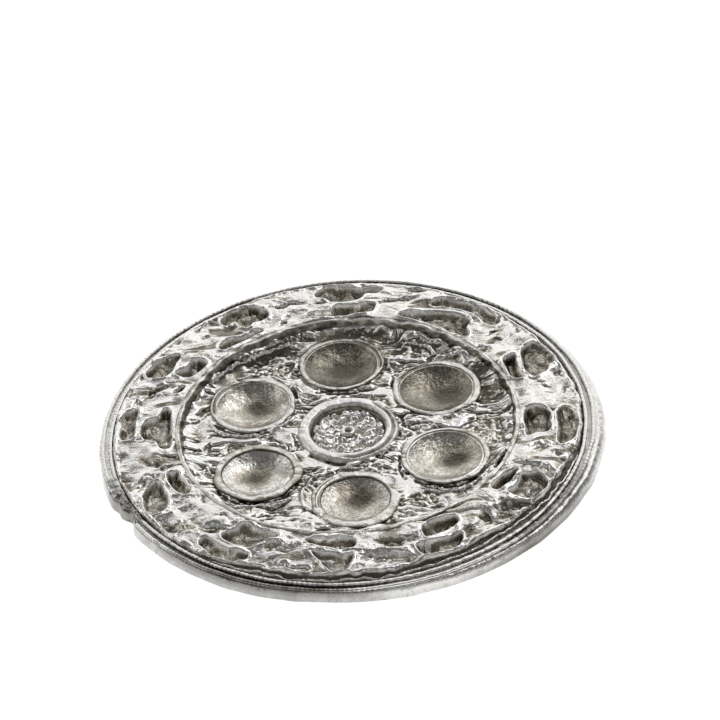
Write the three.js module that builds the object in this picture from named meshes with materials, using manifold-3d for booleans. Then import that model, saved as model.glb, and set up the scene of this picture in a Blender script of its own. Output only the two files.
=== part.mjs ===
// Seven-well display dish: a round silver tray with six bowls round a granulated centre well.
// Millimetres, +Z up. The origin is the middle of the outline, on the face that the dish rests on.
import * as THREE from 'three';
import { mergeVertices } from 'three/addons/utils/BufferGeometryUtils.js';
import Module from 'manifold-3d';

const wasm = await Module();
wasm.setup();

// Overall sizes
const TRAY_DIAMETER = 97.2;
const TRAY_HEIGHT = 5.1;
const CLEARANCE = 0.3;

// The rings and wells share one middle, which stands a little off the middle of the outline,
// so the side wall is wide on one side and narrow on the other.
const RINGS_OFF_X = -0.6;
const RINGS_OFF_Y = -0.9;

// Wells
const WELL_COUNT = 6;
const FIRST_WELL_ANGLE = 91;
const WELL_RADIUS = 7.2;
const WELL_FLOOR = 0.25;
const CUP_WALL = 0.4;
const COLLAR_WIDTH = 1.4;
const COLLAR_HEIGHT = 0.6;
const COLLAR_OVER_LIP = 0.1;
const CENTRE_COLLAR_WIDTH = 2.5;
const CENTRE_COLLAR_HEIGHT = 1.0;
const LAND_BETWEEN_COLLARS = 2.0;
const LAND_TO_BEZEL = 2.6;

// Centre ornament
const CENTRE_WELL_FLOOR = 0.4;
const ROSETTE_HEIGHT = 1.1;
const GRAIN_RINGS = [[2.9, 8], [4.9, 14]];
const GRAIN_RADIUS = 0.75;
const GRAIN_RISE = 0.3;
const BOSS_RADIUS = 1.5;
const BOSS_HEIGHT = 0.7;
const BOSS_PIT_RADIUS = 0.8;

// Plates and rings
const BASE_THICKNESS = 0.6;
const BASE_INSET = 2.4;
const BEZEL_WIDTH = 1.0;
const FIELD_THICKNESS = 1.9;
const RELIEF_CREST_DROP = 0.15;
const RELIEF_EDGE_DROP = 1.0;
const RELIEF_LIP_DROP = 1.7;
const POCKET_DEPTH = 2.4;

// Rim
const LEDGE_DROP = 2.45;
const INNER_ROPE_RADIUS = 0.5;
const OUTER_ROPE_RADIUS = 0.45;
const ROPE_INSET = 0.5;
const ROPE_GAP = 0.65;
const LEDGE_LIP = 0.2;
const SIDE_FLARE = 0.95;
const SIDE_UNDERCUT = 1.4;
const SIDE_SHOULDER = 0.3;
const ROPE_GAP_START = 193;
const ROPE_GAP_END = 210;

// The chip in the edge, seen from the middle of the outline
const CHIP_ANGLE = 208.5;
const CHIP_DEPTH = 1.7;
const CHIP_RADIUS = 3.4;

// Radii worked out from the sizes above
const outlineRadius = TRAY_DIAMETER / 2;
const collarInner = WELL_RADIUS + COLLAR_OVER_LIP;
const collarOuter = collarInner + COLLAR_WIDTH;
const centreCollarOuter = collarInner + CENTRE_COLLAR_WIDTH;
const cupOuter = WELL_RADIUS + CUP_WALL;
const besideCentre = centreCollarOuter + LAND_BETWEEN_COLLARS + collarOuter;
const besideEachOther = (collarOuter + LAND_BETWEEN_COLLARS / 2) / Math.sin(Math.PI / WELL_COUNT);
const wellCircle = Math.max(besideCentre, besideEachOther);
const bezelInner = wellCircle + collarOuter + LAND_TO_BEZEL;
const bezelOuter = bezelInner + BEZEL_WIDTH;
const ledgeOuter = outlineRadius - SIDE_FLARE;
const outerRope = ledgeOuter - LEDGE_LIP - OUTER_ROPE_RADIUS;
const innerRope = outerRope - OUTER_ROPE_RADIUS - ROPE_GAP - INNER_ROPE_RADIUS;
const ledgeInner = innerRope - ROPE_INSET;
const reliefInner = bezelOuter + CLEARANCE;
const reliefOuter = ledgeInner - CLEARANCE;

// Heights worked out from the sizes above
const fieldTop = BASE_THICKNESS + FIELD_THICKNESS;
const ledgeTop = TRAY_HEIGHT - LEDGE_DROP;
const reliefCrest = TRAY_HEIGHT - RELIEF_CREST_DROP;
const pocketFloor = reliefCrest - POCKET_DEPTH;
const centreFloor = BASE_THICKNESS + CENTRE_WELL_FLOOR;

// Pocket outlines round the relief ring, in millimetres from the middle of the rings, each
// drawn on a ring from DRAWN_INNER to DRAWN_OUTER. onRing moves them to the ring as it is.
const DRAWN_INNER = 33.1;
const DRAWN_OUTER = 44.6;
const POCKETS = [
  // Top of the dish
  [[-4.6, 42.0], [-3, 43.6], [1.5, 43.8], [5.5, 42.9], [9.4, 42.2], [8.3, 40.9], [5.2, 40.4], [4.4, 38.4],
    [1.5, 37.9], [-2.5, 39.3]],
  [[-6.3, 33.9], [-6, 35.1], [-1.8, 35.4], [-0.6, 36.9], [3.5, 36.6], [7.2, 37.2], [7.2, 35.2], [5.6, 33.8],
    [0, 33.7]],
  // Upper right
  [[18.3, 35.6], [20.5, 37.8], [24.5, 36.1], [29, 32.5], [31.6, 29.2], [30.6, 27], [28.8, 27.8], [26.6, 30.8],
    [23.5, 32.9], [20, 34.4]],
  [[11.3, 32], [13.5, 33.7], [18.5, 33.2], [22.9, 31.6], [25.8, 29.2], [24.4, 27], [24.9, 24.8], [24.2, 23.8],
    [21.2, 26.5], [16.7, 29.5], [13.1, 31.2]],
  // Right, above the middle
  [[34.8, 18.6], [37.6, 20.7], [39.7, 18.2], [41, 14.6], [39.8, 12.2], [36.8, 9.9], [35.1, 11.6], [34.7, 15.2]],
  [[30.8, 14.6], [31.7, 16.6], [33.5, 17.1], [33.6, 14.6], [33.6, 12], [34.8, 9.4], [32.7, 9.1], [31.6, 12.2]],
  // Right
  [[40, -1], [41.5, 0.2], [43.2, -1.5], [43.7, -5], [43, -8.5], [41.8, -10.5], [40, -11.1], [39.4, -9.5],
    [40.1, -6]],
  [[33.9, -1], [36, 0.5], [38.1, -0.6], [38.4, -4], [37.8, -7.4], [35.5, -7.6], [33.8, -8.2], [33.6, -5]],
  // Right, below the middle
  [[32.4, -19.3], [34.5, -18.9], [36.5, -21.3], [35.3, -24.4], [33.2, -26], [29.3, -25.2], [28.7, -24.3],
    [30.6, -22.2]],
  [[27.6, -20.1], [29.5, -18.2], [31.2, -17.8], [30.6, -19.9], [28.7, -22.2], [27.2, -23.6], [25.9, -22.8]],
  // Lower right
  [[10.9, -37.3], [12.4, -39.8], [15.5, -39.4], [18.3, -38.2], [19.4, -36.2], [19.4, -34.2], [17, -35.3],
    [13.5, -36.7]],
  [[12.7, -31.6], [15.6, -30.4], [18.2, -29.9], [18.9, -31.3], [17.2, -33.5], [14.8, -34.7], [12.7, -35.4],
    [12.2, -33.3]],
  // Bottom
  [[-8.1, -36.8], [-5.5, -37.1], [-3, -38.5], [-0.9, -38.2], [-1.5, -40.8], [-2.6, -42.3], [-4.6, -42.3],
    [-6.4, -39.8]],
  [[-9.4, -32.8], [-5, -33.7], [-0.5, -33.9], [-0.4, -36.2], [-2.8, -37.1], [-5.2, -35.7], [-8.2, -34.9]],
  // Lower left
  [[-28.9, -31], [-27.4, -29.6], [-25.7, -31.6], [-22.8, -34.1], [-19.7, -35.1], [-20.2, -36.6],
    [-22.3, -37.2], [-24.9, -36], [-27.3, -33.8]],
  [[-14.1, -31], [-17.4, -29.1], [-20.5, -27.1], [-21.6, -28.2], [-24.5, -29.3], [-24.4, -31], [-22.2, -32.9],
    [-19.8, -33.9], [-18, -32.9], [-16.2, -32.1], [-14.5, -32.2]],
  // Left, below the middle
  [[-37.9, -13.8], [-36.5, -13.2], [-35.3, -15.2], [-34.4, -19.4], [-35.6, -21.7], [-37.4, -22.1],
    [-38.8, -19.8], [-39.3, -16.6]],
  [[-34.5, -11], [-32.4, -10.6], [-31.9, -12.8], [-30.6, -15.3], [-30.2, -17.3], [-31.4, -18], [-33.1, -16],
    [-34.4, -13.2]],
  // Left
  [[-42.9, 8.2], [-41.5, 9.6], [-40.1, 9.7], [-40.5, 6], [-40.6, 1.6], [-41.6, 0.2], [-43.4, 0.6], [-43.6, 4.4]],
  [[-39.5, 3.6], [-38.4, 5.5], [-36.2, 5.9], [-35.2, 8.1], [-33.9, 8.1], [-33.8, 3], [-33.9, -3.2],
    [-35.4, -3.9], [-36.6, -1.2], [-38.6, -0.2], [-39.5, 1.2]],
  // Left, above the middle
  [[-38.5, 20.5], [-37.3, 23], [-35, 25.1], [-31.6, 25.4], [-32.7, 23], [-33.3, 20.6], [-34.5, 18.7],
    [-36.6, 18.2], [-38.2, 19]],
  [[-29.4, 23.4], [-27.8, 23.3], [-26.3, 21.9], [-27.1, 20.6], [-28.9, 18.4], [-30.2, 17.7], [-32.7, 19],
    [-31.6, 20.6], [-30, 21.6]],
  [[-33.3, 13.2], [-31.8, 15.1], [-30.9, 15.2], [-31.4, 13.8], [-32.5, 12.5]],
  // Upper left
  [[-23.6, 36], [-21.8, 37.9], [-18.1, 39.8], [-16, 39], [-14.2, 37.4], [-14.4, 35.1], [-16.7, 34],
    [-18.4, 32.1], [-19.8, 33.4], [-20.7, 35.1], [-22.6, 33.6]],
  [[-24, 27.2], [-22.9, 29.1], [-19.6, 30], [-16.3, 31.6], [-15.1, 31.4], [-15.6, 30.5], [-19.7, 27.8],
    [-22.3, 25.8], [-23.6, 25.4]],
];

// Roundness of the meshes
const RING_SIDES = 96;
const WELL_SIDES = 30;
const ROPE_STEPS = 72;
const ROPE_SIDES = 6;
const POCKET_POINTS = 18;
const GRAIN_SIDES = 6;
const CHIP_SIDES = 20;
const BOSS_SIDES = 12;

// Finishes
const SILVER = { color: 0xc9c7c1, roughness: 0.3, metalness: 1 };
const BRIGHT_SILVER = { color: 0xdedcd6, roughness: 0.2, metalness: 1 };
const DARK_SILVER = { color: 0x6f685c, roughness: 0.42, metalness: 1 };

const dish = new THREE.Group();
const rings = new THREE.Group();
rings.position.set(RINGS_OFF_X, RINGS_OFF_Y, 0);
dish.add(rings);

function addPiece(parent, name, geometry, finish) {
  const piece = new THREE.Mesh(geometry, new THREE.MeshStandardMaterial(finish));
  piece.name = name;
  parent.add(piece);
  return piece;
}

// A solid of revolution about Z, from its outline as [radius, height] points, bottom first.
function turned(outline, sides) {
  const points = outline.map(([radius, height]) => new THREE.Vector2(radius, height));
  const geometry = new THREE.LatheGeometry(points, sides);
  geometry.rotateX(Math.PI / 2);
  return geometry;
}

function closedRing(outline, sides) {
  return turned([...outline, outline[0]], sides);
}

function toSolid(geometry) {
  const bare = geometry.clone();
  bare.deleteAttribute('normal');
  bare.deleteAttribute('uv');
  const merged = mergeVertices(bare, 1e-4);
  const mesh = new wasm.Mesh({
    numProp: 3,
    vertProperties: new Float32Array(merged.attributes.position.array),
    triVerts: new Uint32Array(merged.index.array),
  });
  return new wasm.Manifold(mesh);
}

function toGeometry(solid) {
  const mesh = solid.getMesh();
  const geometry = new THREE.BufferGeometry();
  const corners = [];
  for (let i = 0; i < mesh.vertProperties.length; i += mesh.numProp) {
    corners.push(mesh.vertProperties[i], mesh.vertProperties[i + 1], mesh.vertProperties[i + 2]);
  }
  geometry.setAttribute('position', new THREE.Float32BufferAttribute(corners, 3));
  geometry.setIndex([...mesh.triVerts]);
  geometry.computeVertexNormals();
  return geometry;
}

function alongRing(radius, degrees) {
  const angle = THREE.MathUtils.degToRad(degrees);
  return [radius * Math.cos(angle), radius * Math.sin(angle)];
}

function wellPlace(index) {
  return alongRing(wellCircle, FIRST_WELL_ANGLE + index * 360 / WELL_COUNT);
}

// The foot disc that everything stands on
function basePlate() {
  const radius = outlineRadius - BASE_INSET;
  return turned([[0, 0], [radius, 0], [radius, BASE_THICKNESS], [0, BASE_THICKNESS]], RING_SIDES);
}

// The floor of the tray, with a hole for each well
function fieldPlate() {
  const radius = bezelInner - CLEARANCE;
  const disc = turned([[0, BASE_THICKNESS], [radius, BASE_THICKNESS], [radius, fieldTop], [0, fieldTop]], RING_SIDES);
  const hole = cupOuter + CLEARANCE;
  const cutter = toSolid(turned([[0, 0], [hole, 0], [hole, TRAY_HEIGHT], [0, TRAY_HEIGHT]], WELL_SIDES));
  let plate = toSolid(disc).subtract(cutter);
  for (let i = 0; i < WELL_COUNT; i += 1) {
    const [x, y] = wellPlace(i);
    plate = plate.subtract(cutter.translate([x, y, 0]));
  }
  return toGeometry(plate);
}

// A pressed cup whose bowl runs down from its lip to a thin floor
function cup() {
  const floor = BASE_THICKNESS + WELL_FLOOR;
  const bowl = [1, 0.9, 0.7, 0.4].map((share) => {
    const rise = (fieldTop - floor) * share ** 2.4;
    return [WELL_RADIUS * share, floor + rise];
  });
  return turned([[0, BASE_THICKNESS], [cupOuter, BASE_THICKNESS], [cupOuter, fieldTop], ...bowl, [0, floor]],
    WELL_SIDES);
}

// A flat-bottomed cup for the centre ornament
function centreCup() {
  return turned([[0, BASE_THICKNESS], [cupOuter, BASE_THICKNESS], [cupOuter, fieldTop], [WELL_RADIUS, fieldTop],
    [WELL_RADIUS, centreFloor], [0, centreFloor]], WELL_SIDES);
}

// A half-round ring laid over a cup's lip
function collar(width, height) {
  const outline = [[collarInner, fieldTop], [collarInner + width, fieldTop]];
  for (const degrees of [35, 90, 145]) {
    const [across, up] = alongRing(1, degrees);
    outline.push([collarInner + width / 2 * (1 + across), fieldTop + height * up]);
  }
  return closedRing(outline, WELL_SIDES);
}

// The granulated disc: a turned disc with two rings of low grains
function rosette() {
  const radius = WELL_RADIUS - CLEARANCE;
  const top = centreFloor + ROSETTE_HEIGHT;
  const shoulder = GRAIN_RISE / 2;
  let disc = toSolid(turned([[0, centreFloor], [radius, centreFloor], [radius, top - shoulder],
    [radius - shoulder, top], [0, top]], WELL_SIDES));
  const grain = toSolid(turned([[0, top - shoulder], [GRAIN_RADIUS, top - shoulder],
    [GRAIN_RADIUS * 0.7, top + GRAIN_RISE * 0.7], [0, top + GRAIN_RISE]], GRAIN_SIDES));
  for (const [ring, count] of GRAIN_RINGS) {
    for (let i = 0; i < count; i += 1) {
      const [x, y] = alongRing(ring, i * 360 / count);
      disc = disc.add(grain.translate([x, y, 0]));
    }
  }
  return toGeometry(disc);
}

// The small boss on the rosette, with a dimple in its top
function boss() {
  const bottom = centreFloor + ROSETTE_HEIGHT;
  const top = bottom + BOSS_HEIGHT;
  return turned([[0, bottom], [BOSS_RADIUS, bottom], [BOSS_RADIUS, bottom + BOSS_HEIGHT / 2],
    [(BOSS_RADIUS + BOSS_PIT_RADIUS) / 2, top], [BOSS_PIT_RADIUS, top - BOSS_HEIGHT / 4],
    [0, bottom + BOSS_HEIGHT / 4]], BOSS_SIDES);
}

// The wall round the field, rounded along its top
function bezel() {
  const round = BEZEL_WIDTH / 2;
  const outline = [[bezelInner, BASE_THICKNESS], [bezelOuter, BASE_THICKNESS]];
  for (const degrees of [0, 55, 125, 180]) {
    const [across, up] = alongRing(round, degrees);
    outline.push([bezelInner + round + across, TRAY_HEIGHT - round + up]);
  }
  return closedRing(outline, RING_SIDES);
}

// A drawn point, moved from the drawn ring to the relief ring as it is
function onRing([x, y]) {
  const drawn = Math.hypot(x, y);
  const share = (drawn - DRAWN_INNER) / (DRAWN_OUTER - DRAWN_INNER);
  const radius = reliefInner + share * (reliefOuter - reliefInner);
  return new THREE.Vector2(x * radius / drawn, y * radius / drawn);
}

function pocketCutter(points) {
  const places = points.map((point) => {
    const place = onRing(point);
    return new THREE.Vector3(place.x, place.y, 0);
  });
  const curve = new THREE.CatmullRomCurve3(places, true, 'centripetal');
  const outline = curve.getPoints(POCKET_POINTS).slice(0, POCKET_POINTS);
  const shape = new THREE.Shape(outline.map((point) => new THREE.Vector2(point.x, point.y)));
  const geometry = new THREE.ExtrudeGeometry(shape, { depth: TRAY_HEIGHT, bevelEnabled: false });
  geometry.translate(0, 0, pocketFloor);
  return toSolid(geometry);
}

// The domed ring of relief, with its deep pockets
function reliefRing() {
  const middle = (reliefInner + reliefOuter) / 2;
  const shoulder = reliefOuter - (reliefOuter - reliefInner) / 10;
  let ring = toSolid(closedRing([
    [reliefInner, BASE_THICKNESS],
    [reliefOuter, BASE_THICKNESS],
    [reliefOuter, TRAY_HEIGHT - RELIEF_LIP_DROP],
    [shoulder, TRAY_HEIGHT - RELIEF_EDGE_DROP],
    [middle, reliefCrest],
    [reliefInner, reliefCrest],
  ], RING_SIDES));
  for (const points of POCKETS) {
    ring = ring.subtract(pocketCutter(points));
  }
  return toGeometry(ring);
}

// The flared side wall and the ledge that the two ropes lie on. Its outside is round about
// the outline's middle and its bore about the rings' middle.
function sideBand() {
  const wallHeight = ledgeTop - BASE_THICKNESS;
  const body = toSolid(turned([
    [0, BASE_THICKNESS],
    [outlineRadius - SIDE_UNDERCUT, BASE_THICKNESS],
    [outlineRadius, BASE_THICKNESS + wallHeight / 4],
    [outlineRadius, BASE_THICKNESS + wallHeight * 3 / 4],
    [outlineRadius - SIDE_SHOULDER, ledgeTop],
    [0, ledgeTop],
  ], RING_SIDES));
  const bore = toSolid(turned([[0, 0], [ledgeInner, 0], [ledgeInner, TRAY_HEIGHT], [0, TRAY_HEIGHT]], RING_SIDES));
  const chip = toSolid(turned([[0, 0], [CHIP_RADIUS, 0], [CHIP_RADIUS, TRAY_HEIGHT], [0, TRAY_HEIGHT]], CHIP_SIDES));
  const [chipX, chipY] = alongRing(outlineRadius + CHIP_RADIUS - CHIP_DEPTH, CHIP_ANGLE);
  return toGeometry(body
    .subtract(bore.translate([RINGS_OFF_X, RINGS_OFF_Y, 0]))
    .subtract(chip.translate([chipX, chipY, 0])));
}

class RopeArc extends THREE.Curve {
  constructor(radius, height) {
    super();
    this.radius = radius;
    this.height = height;
  }

  getPoint(share, target = new THREE.Vector3()) {
    const degrees = ROPE_GAP_END + share * (360 - ROPE_GAP_END + ROPE_GAP_START);
    const [x, y] = alongRing(this.radius, degrees);
    return target.set(x, y, this.height);
  }
}

// A rope wire laid on the ledge, open across the worn stretch of the edge
function rope(ringRadius, wireRadius) {
  const section = new THREE.Shape();
  for (let i = 0; i < ROPE_SIDES; i += 1) {
    const [x, y] = alongRing(wireRadius, (i + 0.5) * 360 / ROPE_SIDES);
    if (i === 0) section.moveTo(x, y);
    else section.lineTo(x, y);
  }
  section.closePath();
  const path = new RopeArc(ringRadius, ledgeTop + CLEARANCE + wireRadius);
  return new THREE.ExtrudeGeometry(section, { steps: ROPE_STEPS, extrudePath: path, bevelEnabled: false });
}

addPiece(dish, 'base_plate', basePlate(), SILVER);
addPiece(dish, 'side_band', sideBand(), SILVER);
addPiece(rings, 'field_plate', fieldPlate(), DARK_SILVER);
addPiece(rings, 'border_bezel', bezel(), BRIGHT_SILVER);
addPiece(rings, 'relief_ring', reliefRing(), SILVER);
addPiece(rings, 'inner_rope_wire', rope(innerRope, INNER_ROPE_RADIUS), BRIGHT_SILVER);
addPiece(rings, 'outer_rope_wire', rope(outerRope, OUTER_ROPE_RADIUS), BRIGHT_SILVER);
addPiece(rings, 'centre_cup', centreCup(), DARK_SILVER);
addPiece(rings, 'centre_collar', collar(CENTRE_COLLAR_WIDTH, CENTRE_COLLAR_HEIGHT), BRIGHT_SILVER);
addPiece(rings, 'centre_rosette', rosette(), DARK_SILVER);
addPiece(rings, 'centre_boss', boss(), BRIGHT_SILVER);
for (let i = 0; i < WELL_COUNT; i += 1) {
  const [x, y] = wellPlace(i);
  addPiece(rings, `cup_${i + 1}`, cup(), DARK_SILVER).position.set(x, y, 0);
  addPiece(rings, `cup_collar_${i + 1}`, collar(COLLAR_WIDTH, COLLAR_HEIGHT), BRIGHT_SILVER).position.set(x, y, 0);
}

export default dish;
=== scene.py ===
"""Seven-well display dish: the finished metal surfaces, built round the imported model.

Everything is worked out in millimetres about the middle of the rings, and turned into
metres in the row's frame when a mesh is made.
"""

import math

import bpy
import numpy as np
from mathutils import Matrix, Vector


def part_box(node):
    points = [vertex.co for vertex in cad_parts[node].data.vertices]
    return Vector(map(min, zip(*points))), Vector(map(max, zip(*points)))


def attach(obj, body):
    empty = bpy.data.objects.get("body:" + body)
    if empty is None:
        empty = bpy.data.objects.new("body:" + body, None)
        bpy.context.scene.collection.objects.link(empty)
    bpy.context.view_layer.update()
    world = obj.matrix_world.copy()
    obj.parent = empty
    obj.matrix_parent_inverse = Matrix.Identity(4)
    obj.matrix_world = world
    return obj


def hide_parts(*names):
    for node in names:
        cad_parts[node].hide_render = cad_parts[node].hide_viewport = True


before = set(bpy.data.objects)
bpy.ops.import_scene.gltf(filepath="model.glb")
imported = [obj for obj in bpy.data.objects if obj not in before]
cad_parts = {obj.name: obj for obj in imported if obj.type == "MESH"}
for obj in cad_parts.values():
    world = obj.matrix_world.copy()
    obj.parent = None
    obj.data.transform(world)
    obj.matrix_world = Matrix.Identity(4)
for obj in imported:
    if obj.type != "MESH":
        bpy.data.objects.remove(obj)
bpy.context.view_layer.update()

bl_info = {
    "name": "Seven-well display dish",
    "version": (1, 0, 0),
    "blender": (4, 5, 0),
    "location": "3D View > Sidebar > Dish",
    "description": "Builds the cast and soldered surfaces of a seven-well display dish",
    "category": "Add Mesh",
}

MM = 0.001
WELLS = 6
FULL_TURN = 2 * math.pi

# ---------------------------------------------------------------- measures from the frame


def node_points(node):
    """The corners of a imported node, in millimetres."""
    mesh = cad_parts[node].data
    flat = np.zeros(len(mesh.vertices) * 3)
    mesh.vertices.foreach_get("co", flat)
    return flat.reshape(-1, 3) / MM


def middle_of(node):
    """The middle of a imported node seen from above, in millimetres."""
    low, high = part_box(node)
    return np.array([(low.x + high.x) / 2, (low.y + high.y) / 2]) / MM


RINGS = middle_of("centre_collar")
OUTLINE = middle_of("side_band") - RINGS
WELL_PLACES = [middle_of(f"cup_{i + 1}") - RINGS for i in range(WELLS)]


def reach(node, centre=(0.0, 0.0)):
    """Least and greatest distance of a node's corners from a point, seen from above."""
    points = node_points(node)[:, :2] - RINGS - np.array(centre)
    distance = np.hypot(points[:, 0], points[:, 1])
    return distance.min(), distance.max()


def heights(node):
    """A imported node's lowest and highest level, in millimetres."""
    low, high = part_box(node)
    return low.z / MM, high.z / MM


BASE_TOP = heights("base_plate")[1]
FIELD_TOP = heights("field_plate")[1]
CREST = heights("border_bezel")[1]
BEZEL_INNER, BEZEL_OUTER = reach("border_bezel")
RELIEF_INNER, RELIEF_OUTER = reach("relief_ring")
ROPE_MIDDLE = sum(reach("inner_rope_wire")) / 2
OUTER_ROPE_MIDDLE = sum(reach("outer_rope_wire")) / 2
RELIEF_GAP = 0.3
LEDGE_INNER = RELIEF_OUTER + RELIEF_GAP
COLLAR_INNER, COLLAR_OUTER = reach("cup_collar_1", WELL_PLACES[0])
CENTRE_COLLAR_OUTER = reach("centre_collar")[1]
CUP_OUTER = reach("centre_cup")[1]
CUP_WALL = 0.4
ROSETTE_RADIUS = reach("centre_rosette")[1]
BOSS_RADIUS = reach("centre_boss")[1]


def flat_floor_loops(node):
    """The outlines of a node's lowest flat upward faces, such as the floors of its pockets."""
    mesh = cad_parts[node].data
    points = node_points(node)
    points[:, :2] -= RINGS
    level = {}
    for face in mesh.polygons:
        if face.normal.z > 0.999:
            corners = [tuple(np.round(points[v], 3)) for v in face.vertices]
            level.setdefault(round(corners[0][2], 1), []).append(corners)
    floor = level[min(level)]
    ahead = {edge: True for corners in floor for edge in zip(corners, corners[1:] + corners[:1])}
    after = {a: b for a, b in ahead if (b, a) not in ahead}
    loops = []
    while after:
        start, point = after.popitem()
        loop = [start]
        while point != start and point in after:
            loop.append(point)
            point = after.pop(point)
        loops.append(np.array([corner[:2] for corner in loop]))
    return loops


def rounded(loop):
    """One pass of corner cutting round a closed outline."""
    after = np.roll(loop, -1, axis=0)
    return np.stack([0.75 * loop + 0.25 * after, 0.25 * loop + 0.75 * after], 1).reshape(-1, 2)


# ---------------------------------------------------------------- fields of numbers


LATTICE_SIDE = 128


def lattice(seed):
    """A square table of random numbers from -1 to 1."""
    return np.random.default_rng(seed).random((LATTICE_SIDE, LATTICE_SIDE)) * 2 - 1


def hills(x, y, grain, seed):
    """Smooth random hills about grain mm apart, from -1 to 1."""
    table, side = lattice(seed), LATTICE_SIDE
    u, v = x / grain + 0.37 * seed, y / grain + 0.61 * seed
    i, j = np.floor(u).astype(int), np.floor(v).astype(int)
    fu, fv = u - i, v - j
    fu, fv = (f * f * f * (f * (f * 6 - 15) + 10) for f in (fu, fv))
    a, b = table[i % side, j % side], table[(i + 1) % side, j % side]
    c, d = table[i % side, (j + 1) % side], table[(i + 1) % side, (j + 1) % side]
    return (a * (1 - fu) + b * fu) * (1 - fv) + (c * (1 - fu) + d * fu) * fv


def rough(x, y, grain, seed, layers=3):
    """Layers of hills, each half as wide and half as high as the one before."""
    total = np.zeros_like(x)
    for k in range(layers):
        total += hills(x, y, grain / 2**k, seed + 7 * k) / 2**k
    return total / (2 - 2 ** (1 - layers))


def creases(x, y, grain, seed):
    """Thin branching lines, 1 along each line and 0 between them."""
    bend = 0.6 * grain * hills(x, y, grain * 1.7, seed + 3)
    return np.clip(1 - 5 * np.abs(hills(x + bend, y - bend, grain, seed)), 0, 1) ** 1.5


def smooth_step(low, high, value):
    """0 up to low, 1 from high on, and a smooth change between them."""
    t = np.clip((value - low) / (high - low), 0, 1)
    return t * t * (3 - 2 * t)


def mixed(a, b, share):
    """The value that lies a share of the way from a to b."""
    return a + (b - a) * share


def hump(value, middle, width):
    """1 where a value is at the middle, fading to almost nothing at twice the width from it."""
    return np.exp(-(((value - middle) / width) ** 2))


def swayed(x, y, amount, grain, seed):
    """Places pushed about by smooth hills, so that marks made from them wander."""
    return x + amount * hills(x, y, grain, seed), y + amount * hills(x, y, grain, seed + 1)


def degrees_from(angles, middle):
    """How far each angle lies from a direction in degrees, either way round."""
    return np.abs((np.degrees(angles) - middle + 180) % 360 - 180)


def line_distance(x, y, points):
    """How far each place is from a line through a few points, and how far along it lies, 0 to 1."""
    best, along = np.full(x.shape, 1e9), np.zeros(x.shape)
    for k, ((ax, ay), (bx, by)) in enumerate(zip(points, points[1:])):
        dx, dy = bx - ax, by - ay
        t = np.clip(((x - ax) * dx + (y - ay) * dy) / (dx * dx + dy * dy), 0, 1)
        distance = np.hypot(x - ax - t * dx, y - ay - t * dy)
        along = np.where(distance < best, (k + t) / (len(points) - 1), along)
        best = np.minimum(best, distance)
    return best, along


def add_strokes(x, y, z, strokes, sign):
    """Presses furrows into a surface, or raises ridges on it, fading towards their ends."""
    for points, width, amount in strokes:
        xs, ys = zip(*points)
        near = (x > min(xs) - 3) & (x < max(xs) + 3) & (y > min(ys) - 3) & (y < max(ys) + 3)
        if near.any():
            px, py = x[near], y[near]
            distance, along = line_distance(px, py, points)
            distance = distance + 0.5 * width * hills(px, py, 1.1, 5) + 0.12 * hills(px, py, 0.5, 6)
            fade = 0.25 + 0.75 * np.sin(np.clip(along, 0.02, 0.98) * math.pi) ** 0.6
            z[near] += sign * amount * fade * np.exp(-np.abs(distance / (0.7 * width)) ** 1.7)
    return z


def inside_distance(x, y, loop, margin=2.0):
    """Signed distance to a closed outline: positive inside it."""
    out = np.full(x.shape, -margin)
    low, high = loop.min(0) - margin, loop.max(0) + margin
    near = (x > low[0]) & (x < high[0]) & (y > low[1]) & (y < high[1])
    if not near.any():
        return out
    px, py = x[near], y[near]
    edge = line_distance(px, py, list(loop) + [loop[0]])[0]
    inside = np.zeros(px.shape, bool)
    for (ax, ay), (bx, by) in zip(loop, np.roll(loop, -1, axis=0)):
        crosses = (ay > py) != (by > py)
        if crosses.any():
            inside ^= crosses & (px < (bx - ax) * (py - ay) / (by - ay + 1e-12) + ax)
    out[near] = np.where(inside, edge, -edge)
    return np.maximum(out, -margin)


def by_angle(angle, table):
    """A value that changes smoothly round the dish, from (degrees, value) pairs."""
    degrees, values = zip(*sorted(table))
    wrapped = [degrees[-1] - 360, *degrees, degrees[0] + 360]
    return np.interp(np.degrees(angle) % 360, wrapped, [values[-1], *values, values[0]])


def softened(z, rounds, turns=True):
    """A grid of heights averaged with its neighbours, whose columns go all the way round or don't."""
    for _ in range(rounds):
        for axis in (0, 1):
            before, after = np.roll(z, 1, axis), np.roll(z, -1, axis)
            if axis == 0:
                before[0], after[-1] = z[0], z[-1]
            elif not turns:
                before[:, 0], after[:, -1] = z[:, 0], z[:, -1]
            z = (before + 2 * z + after) / 4
    return z


# ---------------------------------------------------------------- meshes


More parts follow.
